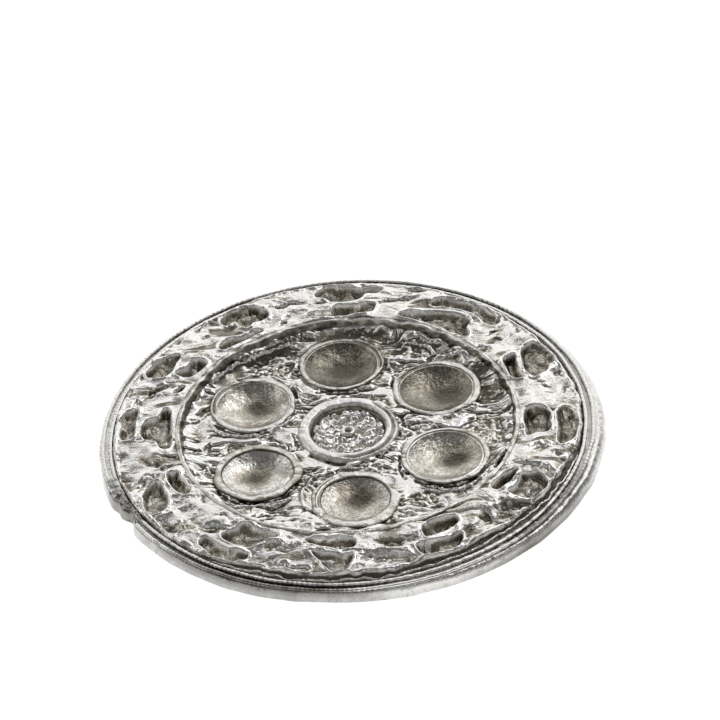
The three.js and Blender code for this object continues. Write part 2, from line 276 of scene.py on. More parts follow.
def add_mesh(name, corners, quads, triangles, patina, centre=(0.0, 0.0)):
    """One closed piece from corners in millimetres about a point of the rings' plane."""
    place = np.array([RINGS[0] + centre[0], RINGS[1] + centre[1], 0.0])
    points = (np.asarray(corners, float) + place) * MM
    quads = np.asarray(quads, int).reshape(-1, 4)
    triangles = np.asarray(triangles, int).reshape(-1, 3)
    fans = np.concatenate([quads[:, [0, 1, 2]], quads[:, [0, 2, 3]], triangles])
    a, b, c = (points[fans[:, k]] for k in range(3))
    if np.einsum("ij,ij->i", a, np.cross(b, c)).sum() < 0:
        quads, triangles = quads[:, ::-1], triangles[:, ::-1]
    mesh = bpy.data.meshes.new(name)
    mesh.vertices.add(len(points))
    mesh.vertices.foreach_set("co", points.astype(np.float32).ravel())
    loops = np.concatenate([quads.ravel(), triangles.ravel()])
    mesh.loops.add(len(loops))
    mesh.loops.foreach_set("vertex_index", loops.astype(np.int32))
    sizes = np.concatenate([np.full(len(quads), 4), np.full(len(triangles), 3)])
    mesh.polygons.add(len(sizes))
    mesh.polygons.foreach_set("loop_start", (np.cumsum(sizes) - sizes).astype(np.int32))
    mesh.polygons.foreach_set("use_smooth", np.ones(len(sizes), bool))
    mesh.update(calc_edges=True)
    mesh.validate()
    layer = mesh.attributes.new("patina", "FLOAT", "POINT")
    layer.data.foreach_set("value", np.asarray(patina, np.float32).ravel())
    piece = bpy.data.objects.new(name, mesh)
    bpy.context.scene.collection.objects.link(piece)
    return piece


def grid_quads(rows, columns, closed_rows, closed_columns):
    """The four-cornered faces of a grid of points, which may close on itself either way."""
    i, j = np.meshgrid(
        np.arange(rows if closed_rows else rows - 1),
        np.arange(columns if closed_columns else columns - 1),
        indexing="ij",
    )
    i, j = i.ravel(), j.ravel()
    below, beside = (i + 1) % rows, (j + 1) % columns
    corners = [i * columns + j, i * columns + beside, below * columns + beside, below * columns + j]
    return np.stack(corners, 1)


def add_grid(name, grid, patina, poles=None, centre=(0.0, 0.0)):
    """A closed piece from a rows by columns grid of points.

    With no poles both ways close on themselves. With poles "rows" the first and last row
    shrink to a point each, and with poles "columns" the first and last column do.
    """
    rows, columns = grid.shape[:2]
    quads = grid_quads(rows, columns, poles != "rows", poles != "columns")
    corners = grid.reshape(-1, 3)
    shade = np.asarray(patina, float).ravel()
    triangles = []
    if poles:
        index = np.arange(rows * columns).reshape(rows, columns)
        ends = (index[0], index[-1]) if poles == "rows" else (index[:, 0], index[:, -1])
        for k, ring in enumerate(ends):
            tip = len(corners)
            corners = np.vstack([corners, corners[ring].mean(0)])
            shade = np.append(shade, shade[ring].mean())
            after = np.roll(ring, -1)
            sides = (ring, after) if (k == 0) == (poles == "columns") else (after, ring)
            triangles.append(np.stack([*sides, np.full(len(ring), tip)], 1))
        triangles = np.concatenate(triangles)
    return add_mesh(name, corners, quads, triangles, shade, centre)


def turned_grid(radii, angles):
    """The x and y of a polar grid, one row for each radius."""
    radii = np.asarray(radii, float)
    if radii.ndim == 1:
        radii = np.repeat(radii[:, None], len(angles), axis=1)
    return radii * np.cos(angles)[None], radii * np.sin(angles)[None]


def turn(count):
    """Angles spread evenly round a full turn."""
    return np.arange(count) * FULL_TURN / count


# How far a top's edge drops before the side begins, so the edge shades crisply
EDGE_STEP = 0.06


def ring_solid(name, radii, angles, top, bottom, patina, centre=(0.0, 0.0)):
    """A flat-bottomed ring whose top is a grid of heights over radii by angles."""
    rings = [radii[0], *radii, radii[-1], radii[-1], radii[0]]
    levels = [top[0] - EDGE_STEP, *top, top[-1] - EDGE_STEP]
    levels += [np.full(len(angles), bottom)] * 2
    shades = [patina[0], *patina, patina[-1], patina[-1], patina[0]]
    x, y = turned_grid(np.array(rings), angles)
    return add_grid(name, np.stack([x, y, np.array(levels)], 2), np.array(shades), None, centre)


def disc_solid(name, radii, angles, top, bottom, patina, centre=(0.0, 0.0)):
    """A flat-bottomed disc whose top is a grid of heights, from its middle out."""
    x, y = turned_grid([*radii, radii[-1], radii[-1], radii[-1] / 2], angles)
    levels = [*top, top[-1] - EDGE_STEP, *[np.full(len(angles), bottom)] * 2]
    shades = [*patina, *[patina[-1]] * 3]
    return add_grid(name, np.stack([x, y, np.array(levels)], 2), np.array(shades), "rows", centre)


def cavity(z, rounds, scale, turns=True):
    """How far a surface lies below its surroundings, from -1 on a peak to 1 in a hollow."""
    return np.clip((softened(z, rounds, turns) - z) / scale, -1, 1)


# ---------------------------------------------------------------- materials


def maths(tree, operation, a, b, limit=False):
    """A Math node's result; a and b are numbers or sockets."""
    node = tree.nodes.new("ShaderNodeMath")
    node.operation = operation
    node.use_clamp = limit
    for socket, value in zip(node.inputs, (a, b)):
        if isinstance(value, (int, float)):
            socket.default_value = value
        else:
            tree.links.new(value, socket)
    return node.outputs[0]


def speckle(tree, place, scale, detail):
    """Noise stretched to swing about 0 by up to about 1 each way."""
    node = tree.nodes.new("ShaderNodeTexNoise")
    node.inputs["Scale"].default_value = scale
    node.inputs["Detail"].default_value = detail
    tree.links.new(place, node.inputs["Vector"])
    return maths(tree, "MULTIPLY", maths(tree, "SUBTRACT", node.outputs["Fac"], 0.5), 3.5)


def ramp(tree, value, stops):
    """A colour ramp from (position, colour) pairs."""
    node = tree.nodes.new("ShaderNodeValToRGB")
    tree.links.new(value, node.inputs["Fac"])
    marks = node.color_ramp.elements
    while len(marks) < len(stops):
        marks.new(0.5)
    for mark, (position, colour) in zip(marks, stops):
        mark.position = position
        mark.color = (*colour, 1)
    return node.outputs["Color"]


def facing(tree, toward, direction):
    """The cosine between the looked-at direction and a given one."""
    node = tree.nodes.new("ShaderNodeVectorMath")
    node.operation = "DOT_PRODUCT"
    tree.links.new(toward, node.inputs[0])
    node.inputs[1].default_value = Vector(direction).normalized()
    return node.outputs["Value"]


def span(tree, value, low, high):
    """A value as its share of the way from low to high, kept within 0 and 1."""
    return maths(tree, "MULTIPLY", maths(tree, "SUBTRACT", value, low), 1 / (high - low), limit=True)


def silver(name, looks, thin, gloss, dull, grain, breakup):
    """Cast silver-toned metal: bright where it is rubbed, dark where the patina stays.

    thin is the colour of thin patina, gloss and dull the roughness of bright and dark metal,
    grain the depth of the casting grain in metres, and breakup how ragged the patina's edge is.
    """
    material = bpy.data.materials.new(name)
    material.use_nodes = True
    tree = material.node_tree
    shader = tree.nodes["Principled BSDF"]
    shader.inputs["Metallic"].default_value = 1.0
    place = tree.nodes.new("ShaderNodeTexCoord").outputs["Object"]
    # Noise about 6 mm, 1.4 mm, 0.4 mm and 0.15 mm across
    broad, middle = speckle(tree, place, 160, 2), speckle(tree, place, 700, 4)
    fine, tiny = speckle(tree, place, 2300, 3), speckle(tree, place, 6500, 2)
    layer = tree.nodes.new("ShaderNodeAttribute")
    layer.attribute_name = "patina"
    ragged = maths(tree, "ADD", middle, fine)
    specks = maths(tree, "MULTIPLY", span(tree, ragged, 0.7, 1.2), 0.7 * breakup)
    ragged = maths(tree, "ADD", maths(tree, "MULTIPLY", ragged, 0.25), maths(tree, "MULTIPLY", tiny, 0.12))
    ragged = maths(tree, "ADD", maths(tree, "MULTIPLY", ragged, breakup), specks)
    worn = maths(tree, "ADD", layer.outputs["Fac"], ragged, limit=True)

    bright, dark = tuple(looks.bright_metal), tuple(looks.dark_patina)
    brown = [mixed(t, d, 0.6) for t, d in zip(thin, dark)]
    metal = ramp(tree, worn, [(0.1, bright), (0.42, tuple(thin)), (0.7, brown), (1.0, dark)])
    tint = tree.nodes.new("ShaderNodeMix")
    tint.data_type = "RGBA"
    tint.blend_type = "MULTIPLY"
    tint.inputs["Factor"].default_value = 0.3
    tree.links.new(metal, tint.inputs["A"])
    tree.links.new(ramp(tree, broad, [(0.0, (0.9, 0.85, 0.76)), (0.6, (1, 1, 1))]), tint.inputs["B"])
    tree.links.new(tint.outputs["Result"], shader.inputs["Base Color"])

    spread = maths(tree, "MULTIPLY", worn, dull - gloss)
    spread = maths(tree, "ADD", spread, maths(tree, "MULTIPLY", fine, 0.05))
    tree.links.new(maths(tree, "ADD", spread, gloss, limit=True), shader.inputs["Roughness"])

    bump = tree.nodes.new("ShaderNodeBump")
    bump.inputs["Strength"].default_value = 1.0
    bump.inputs["Distance"].default_value = grain
    height = maths(tree, "ADD", fine, maths(tree, "MULTIPLY", tiny, 0.4))
    height = maths(tree, "ADD", height, maths(tree, "MULTIPLY", middle, 0.8))
    pitted = maths(tree, "ADD", maths(tree, "MULTIPLY", layer.outputs["Fac"], 1.4), 0.5, limit=True)
    tree.links.new(maths(tree, "MULTIPLY", height, pitted), bump.inputs["Height"])
    tree.links.new(bump.outputs["Normal"], shader.inputs["Normal"])
    return material


# Each metal: the setting that colours its thin patina, its roughness where it is bright and where
# it is dark, its share of the casting grain, and how ragged its patina's edge is
METALS = {
    "body_silver": ("warm_patina", 0.26, 0.24, 0.8, 0.5),
    "bright_silver": ("warm_patina", 0.3, 0.3, 0.8, 0.45),
    "patina_silver": ("warm_patina", 0.2, 0.2, 1.0, 0.6),
    "bowl_silver": ("warm_patina", 0.2, 0.26, 0.5, 0.4),
    "wall_silver": ("grey_patina", 0.25, 0.25, 0.35, 0.2),
}


def finish_material(metal):
    """One of the dish's metals, made once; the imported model's own materials have other names."""
    looks = bpy.context.scene.dish_looks
    name = f"cast_{metal}"
    known = bpy.data.materials.get(name)
    if known:
        return known
    thin, gloss, dull, grain, breakup = METALS[metal]
    return silver(name, looks, getattr(looks, thin), gloss, dull, grain * looks.grain, breakup)


def finish(piece, node, slot, metal=None):
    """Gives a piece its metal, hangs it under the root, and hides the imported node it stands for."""
    piece.data.materials.append(finish_material(metal or slot))
    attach(piece, "root")
    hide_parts(node)
    return piece


# ---------------------------------------------------------------- relief

# Where the relief ends and the groove beside the ropes begins, as (degrees, mm)
RELIEF_EDGE = [
    (0, 44.6), (25, 44.2), (50, 44.5), (90, 44.8), (120, 44.7), (150, 44.7), (180, 44.7),
    (195, 44.9), (208, 44.9), (218, 44.2), (228, 44.3), (238, 43.4), (246, 42.6), (252, 43.2),
    (258, 43.1), (265, 43.3), (271, 42.7), (276, 43.4), (281, 42.8), (288, 42.6), (295, 42.9),
    (302, 42.4), (310, 42.9), (318, 42.7), (324, 43.2), (330, 42.9), (337, 43.6), (345, 44.2),
]

# Furrows and ridges of the relief: points in mm about the rings' middle, width, depth
FURROWS = [
    ([(-41.2, 10.2), (-39, 12), (-37, 14.2), (-34.5, 15.6)], 1.1, 1.1),
    ([(7.6, 37.3), (10, 37.7), (13, 37.6), (15.8, 37.9)], 0.6, 0.8),
    ([(14.3, 40.8), (15.5, 40.4), (17.3, 40.3)], 0.6, 0.7),
    ([(-13.8, 38.6), (-12, 38.3), (-9.5, 39.3), (-6.5, 38.9)], 0.6, 0.8),
    ([(-10.4, 34.8), (-11, 33.2), (-12, 32.2)], 0.7, 0.7),
    ([(-27, 35.8), (-28.2, 33.4)], 0.5, 0.6),
    ([(-27.5, 30.3), (-25.5, 30.6)], 0.6, 0.5),
    ([(-34.5, 28.2), (-33, 29.5), (-31.8, 30)], 0.5, 0.6),
    ([(-40.7, 18), (-41.5, 15.5), (-42, 14.2)], 0.5, 0.6),
    ([(-39, -6.5), (-37, -8.2), (-35, -9.6), (-32.8, -9)], 1.0, 0.8),
    ([(-44, -3.5), (-43.5, -5.8)], 0.6, 0.5),
    ([(-44.2, -10), (-42, -10.5), (-40.8, -12.5)], 1.1, 0.8),
    ([(-40.4, -15.5), (-38.6, -12.4), (-36, -11.8)], 0.9, 0.8),
    ([(-28.2, -19), (-27.2, -20.4)], 0.6, 0.6),
    ([(-33, -20), (-30.5, -22.5), (-31, -24.2)], 1.7, 0.5),
    ([(-36, -24), (-34.5, -25.5), (-33.5, -26.5)], 1.1, 0.8),
    ([(-29.5, -25), (-28, -27.5), (-24.5, -27.8), (-22, -27.6)], 0.9, 0.8),
    ([(-26, -24.5), (-23.8, -24.4), (-22.8, -26.2)], 0.5, 0.5),
    ([(-17.5, -35), (-15, -34), (-12.5, -35.5), (-10, -35)], 1.0, 0.8),
    ([(-18, -38.2), (-15, -39), (-11, -40.5), (-8.5, -41)], 1.3, 0.8),
    ([(3.5, -35.6), (6, -36.5), (9, -36), (11, -35.5)], 1.1, 0.9),
    ([(0.5, -41), (2, -39.6), (5, -39.4), (9, -40.2), (10.5, -40.8)], 1.2, 0.8),
    ([(22, -33.5), (25, -31.5), (27.5, -31.5)], 1.6, 0.8),
    ([(26.5, -28.5), (29, -28.3), (31, -28.5)], 1.2, 0.7),
    ([(31, -27.5), (34, -27.3), (36.8, -25.6)], 1.0, 0.6),
    ([(30.5, -16.2), (33, -16.5), (36.5, -18.3), (37.7, -21)], 1.0, 0.9),
    ([(34, -11.8), (36.5, -11.2), (34.5, -13)], 1.0, 0.6),
    ([(38.5, -14), (40, -13.5)], 1.0, 0.9),
    ([(42, -12), (40.5, -16.5), (39.5, -20)], 1.3, 0.8),
    ([(36.8, 8.2), (38.5, 7.6)], 0.4, 0.5),
    ([(37.7, 6.7), (39.2, 6)], 0.4, 0.5),
    ([(38.2, 4.5), (39.6, 4.2)], 0.4, 0.5),
    ([(42.4, 6.5), (41.8, 4.2)], 0.6, 0.6),
    ([(32.9, 5), (34.2, 3.5)], 0.9, 0.6),
    ([(34.5, 25.6), (35, 24.2)], 0.8, 0.7),
    ([(28.8, 25), (31.7, 25.3)], 0.4, 0.4),
    ([(26.9, 19.8), (28.2, 18.8)], 1.0, 0.9),
    ([(41.6, 12), (41.4, 9.8)], 1.1, 0.9),
    ([(29.5, 22.8), (31.5, 22.2)], 0.4, 0.4),
    ([(-36.5, -5.5), (-34, -6.2), (-32.5, -5.8)], 0.4, 0.4),
]
RIDGES = [
    ([(28, -23.7), (30.2, -20.8), (32, -18.6)], 0.7, 0.5),
    ([(-39.9, -20.8), (-38.9, -21.5), (-37.8, -23)], 0.5, 0.5),
    ([(-38.4, -24), (-35.5, -22.8), (-33, -21.8)], 0.6, 0.4),
    ([(-33, -24.5), (-31.5, -27), (-30.2, -28.2)], 1.5, 0.35),
    ([(-17.8, -33.9), (-16, -32.9), (-13.3, -33.1)], 0.6, 0.3),
    ([(-19, -38.6), (-16.5, -40), (-12, -41.2), (-8.5, -42)], 0.5, 0.4),
    ([(1, -38), (5, -37.4), (9, -38.2), (11.1, -40.3)], 1.0, 0.4),
    ([(28, -31.3), (30, -30.8), (31.5, -28.7)], 0.4, 0.4),
    ([(-8.7, -36), (-5.5, -36.2), (-3.2, -37.6)], 0.5, 0.3),
]


class Relief:
    """The surface of the rim between the bezel and the ropes."""

    def __init__(self, looks):
        self.swell, self.lip = looks.swell / MM, looks.lip / MM
        self.slope, self.depth = looks.wall / MM, looks.pocket_depth / MM
        self.pockets = [rounded(loop) for loop in flat_floor_loops("relief_ring")]
        self.groove = heights("side_band")[1] + 0.65

    def inside(self, x, y):
        """Signed distance into the nearest pocket, in mm."""
        deepest = np.full(x.shape, -2.0)
        for loop in self.pockets:
            deepest = np.maximum(deepest, inside_distance(x, y, loop))
        return deepest

    def height(self, x, y):
        """The heights, in mm; keeps the masks that the patina needs."""
        r, angle = np.hypot(x, y), np.arctan2(y, x)
        across = np.clip((r - RELIEF_INNER) / (RELIEF_OUTER - RELIEF_INNER), 0, 1)
        front = 0.5 - 0.5 * np.sin(angle)
        z = CREST - 0.14 - (0.7 + 0.75 * front) * np.clip(across - 0.2, 0, 1) ** 1.4
        z += self.swell * (0.9 * hills(x, y, 4.6, 11) + 0.6 * hills(x, y, 2.1, 12))
        sway_x, sway_y = swayed(x, y, 1.5, 5, 14)
        slant = 0.2 * sway_y
        wrinkled = 0.25 + 0.75 * smooth_step(-0.3, 0.5, hills(x, y, 4, 16))
        z += (0.13 + 0.08 * front) * wrinkled * rough(0.5 * sway_x + slant, 1.3 * sway_y, 1.2, 13)
        z = add_strokes(x, y, z, FURROWS, -0.8)
        z = add_strokes(x, y, z, RIDGES, 1)
        streaks = rough(0.45 * sway_x + slant, 1.2 * sway_y, 3.1, 17)
        smudges = smooth_step(0.12, 0.42, streaks)
        z -= 0.12 * smudges
        nicks = creases(0.5 * sway_x + slant, sway_y, 2.2, 27)
        nicks *= smooth_step(0.05, 0.5, hills(x, y, 5.5, 22))
        z -= 0.08 * nicks
        inside = self.inside(x, y) + 0.2 * hills(x, y, 1.9, 30)
        z += self.lip * (1 + 0.9 * hills(x, y, 2.4, 35)) * hump(inside, -0.35, 0.38)
        self.rim = hump(inside, -0.35, 0.3)
        wall = smooth_step(-0.25, self.slope, inside)
        floor = CREST - self.depth + 0.55 * hills(x, y, 1.9, 32) + 0.12 * hills(x, y, 0.8, 33)
        floor += 0.6 * smooth_step(0.2, 0.8, hills(x, y, 1.5, 36))
        z = mixed(z, floor, wall)
        edge = by_angle(angle, RELIEF_EDGE) + 0.25 * hills(x, y, 1.8, 41)
        z += 0.2 * hump(r - edge, -0.4, 0.3)
        beyond = smooth_step(-0.15, 0.6, r - edge)
        sweep = np.degrees(angle) % 360
        near = smooth_step(215, 235, sweep) * (1 - smooth_step(335, 350, sweep))
        bead = near * hump(r - edge - 1.25 + 0.25 * hills(x, y, 2.6, 43), 0, 0.28)
        z = mixed(z, self.groove + 0.2 * rough(x, y, 1.2, 42) + 0.45 * bead, beyond)
        z += 0.05 * rough(x, y, 0.6, 51) * (0.3 + wrinkled + 0.2 * wall)
        self.wall, self.beyond, self.nicks, self.bead, self.smudges = wall, beyond, nicks, bead, smudges
        return z


# ---------------------------------------------------------------- field

FIELD_FURROWS = [
    ([(-25.5, 5), (-23, 2.8), (-19, 1.4), (-15.5, 1.4)], 0.6, 0.5),
    ([(-25.5, -15.5), (-23, -17.5), (-19, -19), (-15, -19), (-12, -17.7)], 0.9, 0.6),
    ([(12, -16.5), (15, -19), (19, -19.1), (22.7, -17.3)], 1.0, 0.6),
    ([(27.2, -15.5), (29.3, -12)], 0.7, 0.5),
    ([(10, -16), (9.2, -13), (9.4, -9)], 0.3, 0.4),
    ([(0, -11), (4, -9.6), (7.4, -7.2)], 0.7, 0.5),
    ([(9.5, 24), (11.5, 23.6), (13, 22.6)], 1.7, 0.5),
    ([(-18, 22.8), (-14.5, 25), (-12.4, 25.8)], 1.6, 0.6),
    ([(-9.9, 13.5), (-9.4, 11.5)], 0.6, 0.5),
    ([(-5.5, 12.6), (0, 11.6), (4, 12.2)], 0.7, 0.5),
    ([(-27, -1.2), (-23.5, -0.9)], 0.6, 0.3),
    ([(-10.5, -0.4), (-9.9, -3.2)], 0.5, 0.3),
    ([(10.4, 3.8), (10.8, 0.6), (12.5, -1)], 0.6, 0.5),
    ([(9.5, 15.5), (9.2, 12.2)], 0.5, 0.4),
]
FIELD_RIDGES = [
    ([(-14.5, 1.6), (-12, 3.2), (-10, 5.6)], 0.4, 0.4),
    ([(-26.6, 5.6), (-24.5, 2.2), (-21, 0.6), (-17, 0.3), (-14.8, 1.2)], 0.45, 0.4),
    ([(-21, -19.9), (-16, -20.4), (-12.5, -19.6), (-10.8, -18)], 0.45, 0.4),
    ([(-28.2, -9.7), (-26.9, -8), (-26.5, -10), (-28.2, -9.7)], 0.35, 0.4),
    ([(-9.4, -21.5), (-9.5, -17.5), (-7.4, -13.4), (-3.5, -11.5)], 0.45, 0.4),
    ([(12.5, -18.6), (16, -20.5), (20.5, -20.3), (23.7, -18.2), (25.6, -15.5)], 0.45, 0.4),
    ([(24.5, -18.2), (27.5, -13.5), (29.5, -10.5)], 0.8, 0.5),
    ([(2, -10.3), (5.2, -8.9), (8.6, -5)], 0.6, 0.4),
    ([(18, 1.3), (22, 2.6), (25.5, 4.4)], 0.6, 0.4),
    ([(8.9, 21.5), (8.9, 18.5), (9.6, 16.8)], 0.45, 0.5),
    ([(12, 25.8), (15, 24.8), (17, 23.5), (18, 21.6)], 0.4, 0.5),
    ([(18, 20.4), (21, 20.8), (24, 20)], 0.8, 0.4),
    ([(-25.6, 17.8), (-22.5, 21.2), (-18, 24.2), (-14, 26.6), (-11, 28)], 0.45, 0.6),
    ([(-11, 19), (-9.3, 20.4), (-8.8, 23.5)], 0.5, 0.4),
    ([(-10.4, 15.4), (-8.8, 13.6)], 0.5, 0.4),
]

# Patches of old patina on the field: x, y, radius, strength
FIELD_PATCHES = [
    (-14.8, 24.6, 3.0, 0.85), (-21.5, 21.5, 3.0, 0.5), (11.5, 24, 2.6, 0.8), (0, 30.5, 9.0, 0.5),
    (20, 25, 5.0, 0.5), (27.8, 8.5, 3.2, 0.45), (8.0, 14.2, 2.6, 0.5), (-28.5, 2, 1.6, 0.5),
    (12, -22, 2.6, 0.5), (27.8, -13, 2.0, 0.6), (-18.5, -19.3, 3.2, 0.4), (-0.5, -11.6, 2.4, 0.5),
    (26.5, 15, 2.4, 0.45), (28, 1.0, 2.2, 0.3), (11.2, -2, 1.4, 0.5),
]


class Field:
    """The surface of the sunk floor inside the bezel."""

    def height(self, x, y):
        """The heights, in mm; keeps the mask of the low streaks for the patina."""
        r = np.hypot(x, y)
        z = FIELD_TOP + 0.15 + 0.16 * hills(x, y, 5, 61) + 0.15 * hills(x, y, 2.2, 62)
        cove = smooth_step(BEZEL_INNER - 3.4, BEZEL_INNER, r + 0.5 * hills(x, y, 4, 63))
        z += (1.1 + 0.5 * hills(x, y, 2.4, 69)) * cove**1.3
        sway_x, sway_y = swayed(x, y, 1.6, 5, 56)
        slant = 0.2 * sway_y
        streaks = rough(0.5 * sway_x + slant, 1.3 * sway_y, 2.6, 60)
        self.low = 1 - smooth_step(-0.25, 0.15, streaks)
        z -= 0.3 * self.low
        z = add_strokes(x, y, z, FIELD_FURROWS, -1.5)
        z = add_strokes(x, y, z, FIELD_RIDGES, 1.5)
        wrinkled = 0.15 + 0.95 * self.low
        z += 0.22 * wrinkled * rough(0.6 * sway_x + slant, 1.2 * sway_y, 1.6, 68)
        z += 0.16 * wrinkled * (0.5 - np.abs(rough(0.6 * sway_x + slant, sway_y, 1.3, 55)))
        z -= 0.2 * wrinkled * creases(0.8 * sway_x, sway_y, 2.0, 64)
        z += 0.1 * rough(x, y, 0.8, 66) * (0.15 + wrinkled)
        z -= 0.12 * self.moats(x, y)
        return np.maximum(z, BASE_TOP + 1.0)

    def moats(self, x, y):
        """The uneven groove round the outside of each lip, from 0 to 1."""
        depth = np.zeros(x.shape)
        for px, py in WELL_PLACES:
            away = np.hypot(x - px, y - py) - COLLAR_OUTER + 0.1
            depth = np.maximum(depth, hump(away, 0, 0.4))
        away = np.hypot(x, y) - CENTRE_COLLAR_OUTER - 0.3
        depth = np.maximum(depth, hump(away, 0, 0.45))
        return depth * (0.5 + 0.7 * hills(x, y, 2.5, 59))

    def patina(self, x, y):
        """The patina in the moats, the low streaks and the patches, and more of it on the far side."""
        far = smooth_step(-12, 26, y + 0.35 * x)
        blotches = smooth_step(0.1, 0.7, hills(x, y, 2.6, 67))
        shade = 0.3 * self.moats(x, y) + 0.36 * self.low - 0.14 + 0.18 * far + 0.4 * blotches * (0.4 + far)
        for px, py, size, strength in FIELD_PATCHES:
            away = ((x - px) ** 2 + (y - py) ** 2) / size**2
            shade = shade + strength * np.exp(-away * 1.4)
        return shade


def dish_grid_solid(name, x, y, keep, top, bottom, patina):
    """A flat-bottomed solid from the kept cells of a square grid."""
    rows, columns = x.shape
    used = np.zeros((rows, columns), bool)
    for di in (0, 1):
        for dj in (0, 1):
            used[di : rows - 1 + di, dj : columns - 1 + dj] |= keep
    number = np.full((rows, columns), -1)
    number[used] = np.arange(used.sum())
    count = int(used.sum())
    i, j = np.nonzero(keep)
    cells = np.stack([number[i, j], number[i, j + 1], number[i + 1, j + 1], number[i + 1, j]], 1)
    upper = np.stack([x[used], y[used], top[used]], 1)
    lower = upper.copy()
    lower[:, 2] = bottom
    edges = np.concatenate([cells[:, [k, (k + 1) % 4]] for k in range(4)])
    key = edges[:, 0].astype(np.int64) * count + edges[:, 1]
    back = edges[:, 1].astype(np.int64) * count + edges[:, 0]
    open_edges = edges[~np.isin(key, back)]
    a, b = open_edges[:, 0], open_edges[:, 1]
    walls = np.stack([b, a, a + count, b + count], 1)
    floor = cells[:, ::-1] + count
    corners = np.concatenate([upper, lower])
    shade = np.concatenate([patina[used], np.full(count, 0.3)])
    return add_mesh(name, corners, np.concatenate([cells, floor, walls]), [], shade)


# ---------------------------------------------------------------- user settings


class DishLooks(bpy.types.PropertyGroup):
    """Sizes and colours of the dish's surfaces."""

    swell: bpy.props.FloatProperty(
        name="Relief swell", description="Height of the soft swells on the relief",
        default=0.33 * MM, min=0, unit="LENGTH",
    )
    lip: bpy.props.FloatProperty(
        name="Pocket lip", description="Height of the lip round each pocket",
        default=0.15 * MM, min=0, unit="LENGTH",
    )
    wall: bpy.props.FloatProperty(
        name="Pocket wall", description="Width of a pocket's sloping wall",
        default=0.85 * MM, min=0.2 * MM, unit="LENGTH",
    )
    pocket_depth: bpy.props.FloatProperty(
        name="Pocket depth", description="Depth of the pockets under the crest",
        default=2.0 * MM, min=0.5 * MM, unit="LENGTH",
    )
    grain: bpy.props.FloatProperty(
        name="Casting grain", description="Depth of the fine casting grain",
        default=0.05 * MM, min=0, unit="LENGTH",
    )
    bead_pitch: bpy.props.FloatProperty(
        name="Bead pitch", description="Distance between the beads of the ropes",
        default=0.95 * MM, min=0.2 * MM, unit="LENGTH",
    )
    bright_metal: bpy.props.FloatVectorProperty(
        name="Bright metal", description="Colour of the rubbed metal", subtype="COLOR", size=3,
        default=(0.84, 0.835, 0.825), min=0, max=1,
    )
    warm_patina: bpy.props.FloatVectorProperty(
        name="Thin patina", description="Colour of the thin warm patina", subtype="COLOR", size=3,
        default=(0.475, 0.44, 0.372), min=0, max=1,
    )
    grey_patina: bpy.props.FloatVectorProperty(
        name="Grey patina", description="Colour of the side wall and the ropes", subtype="COLOR", size=3,
        default=(0.4, 0.4, 0.395), min=0, max=1,
    )
    dark_patina: bpy.props.FloatVectorProperty(
        name="Thick patina", description="Colour of the thick old patina", subtype="COLOR", size=3,
        default=(0.115, 0.104, 0.086), min=0, max=1,
    )
    floor_colour: bpy.props.FloatVectorProperty(
        name="Floor", description="Colour of the floor", subtype="COLOR", size=3,
        default=(0.4, 0.4, 0.4), min=0, max=1,
    )


# ---------------------------------------------------------------- operators


class DISH_OT_base_plate(bpy.types.Operator):
    """Make the flat foot disc"""

    bl_idname = "dish.base_plate"
    bl_label = "Foot disc"

    def execute(self, context):
        radius = reach("base_plate", OUTLINE)[1]
        angles = turn(240)
        underside = [0.4, *np.linspace(2, radius - 0.25, 26), radius - 0.08]
        x, y = turned_grid(underside, angles)
        z = 0.012 * rough(x, y, 1.2, 71) + 0.012
        side_levels = (0.1, BASE_TOP - 0.08, BASE_TOP, BASE_TOP)
        z = np.concatenate([z, *[np.full((1, len(angles)), level) for level in side_levels]])
        x, y = turned_grid([*underside, radius, radius, radius - 0.08, underside[0]], angles)
        patina = 0.25 + 0.25 * hills(x, y, 6, 72)
        piece = add_grid("foot_disc", np.stack([x, y, z], 2), patina, "rows", OUTLINE)
        finish(piece, "base_plate", "body_silver")
        return {"FINISHED"}


# How far the side wall reaches from the rings' middle, as (degrees, mm)
SIDE_EDGE = [
    (0, 49.2), (12, 48.8), (28, 48.4), (60, 48.0), (120, 47.7), (184, 47.8), (200, 47.8), (215, 47.5),
    (240, 47.5), (262, 47.4), (277, 47.8), (297, 48.3), (315, 48.6), (345, 49.1),
]


# Bites out of the edge, as (degrees, half width in degrees, mm)
EDGE_BITES = [(206.5, 2.6, 1.5), (201.5, 1.6, 0.6)]

# How rugged the edge is, as (degrees, share)
EDGE_RUGGED = [(180, 0.3), (250, 0.1), (275, 0.3), (300, 1), (350, 0.7), (60, 0.3)]

# Patina and painted shade added by direction, as (degrees, amount): on the side wall's edge, the ropes,
# the foot of the wall, the relief, and the groove between the relief and the ropes. The darker sides are
# partly patina and partly painted shade for the dim reflections on those sides
EDGE_PATINA_AND_SHADE = [
    (0, -0.1), (40, 0.0), (120, 0.05), (165, -0.3), (195, -0.25), (212, 0.0), (225, 0.3), (235, 0.45),
    (268, 0.4), (280, -0.2), (298, -0.15), (312, 0.12), (330, 0.05), (345, -0.1),
]
ROPE_PATINA_AND_SHADE = [
    (0, -0.1), (40, 0.0), (120, 0.0), (165, -0.4), (200, -0.4), (212, 0.0), (225, 0.3), (235, 0.45),
    (262, 0.6), (276, -0.3), (300, -0.35), (312, 0.4), (330, 0.4), (345, 0.1),
]
FOOT_PATINA_AND_SHADE = [(0, 0.0), (265, 0.0), (285, 0.1), (300, 0.25), (312, 0.6), (325, 0.3), (345, 0.0)]
RELIEF_PATINA_AND_SHADE = [(0, 0.12), (45, 0.1), (90, 0.02), (120, 0.12), (180, -0.02), (250, -0.04), (300, 0.1)]
GROOVE_PATINA_AND_SHADE = [(60, 0.5), (150, 0.35), (200, 0.4), (225, 0.9), (335, 0.9), (355, 0.45)]


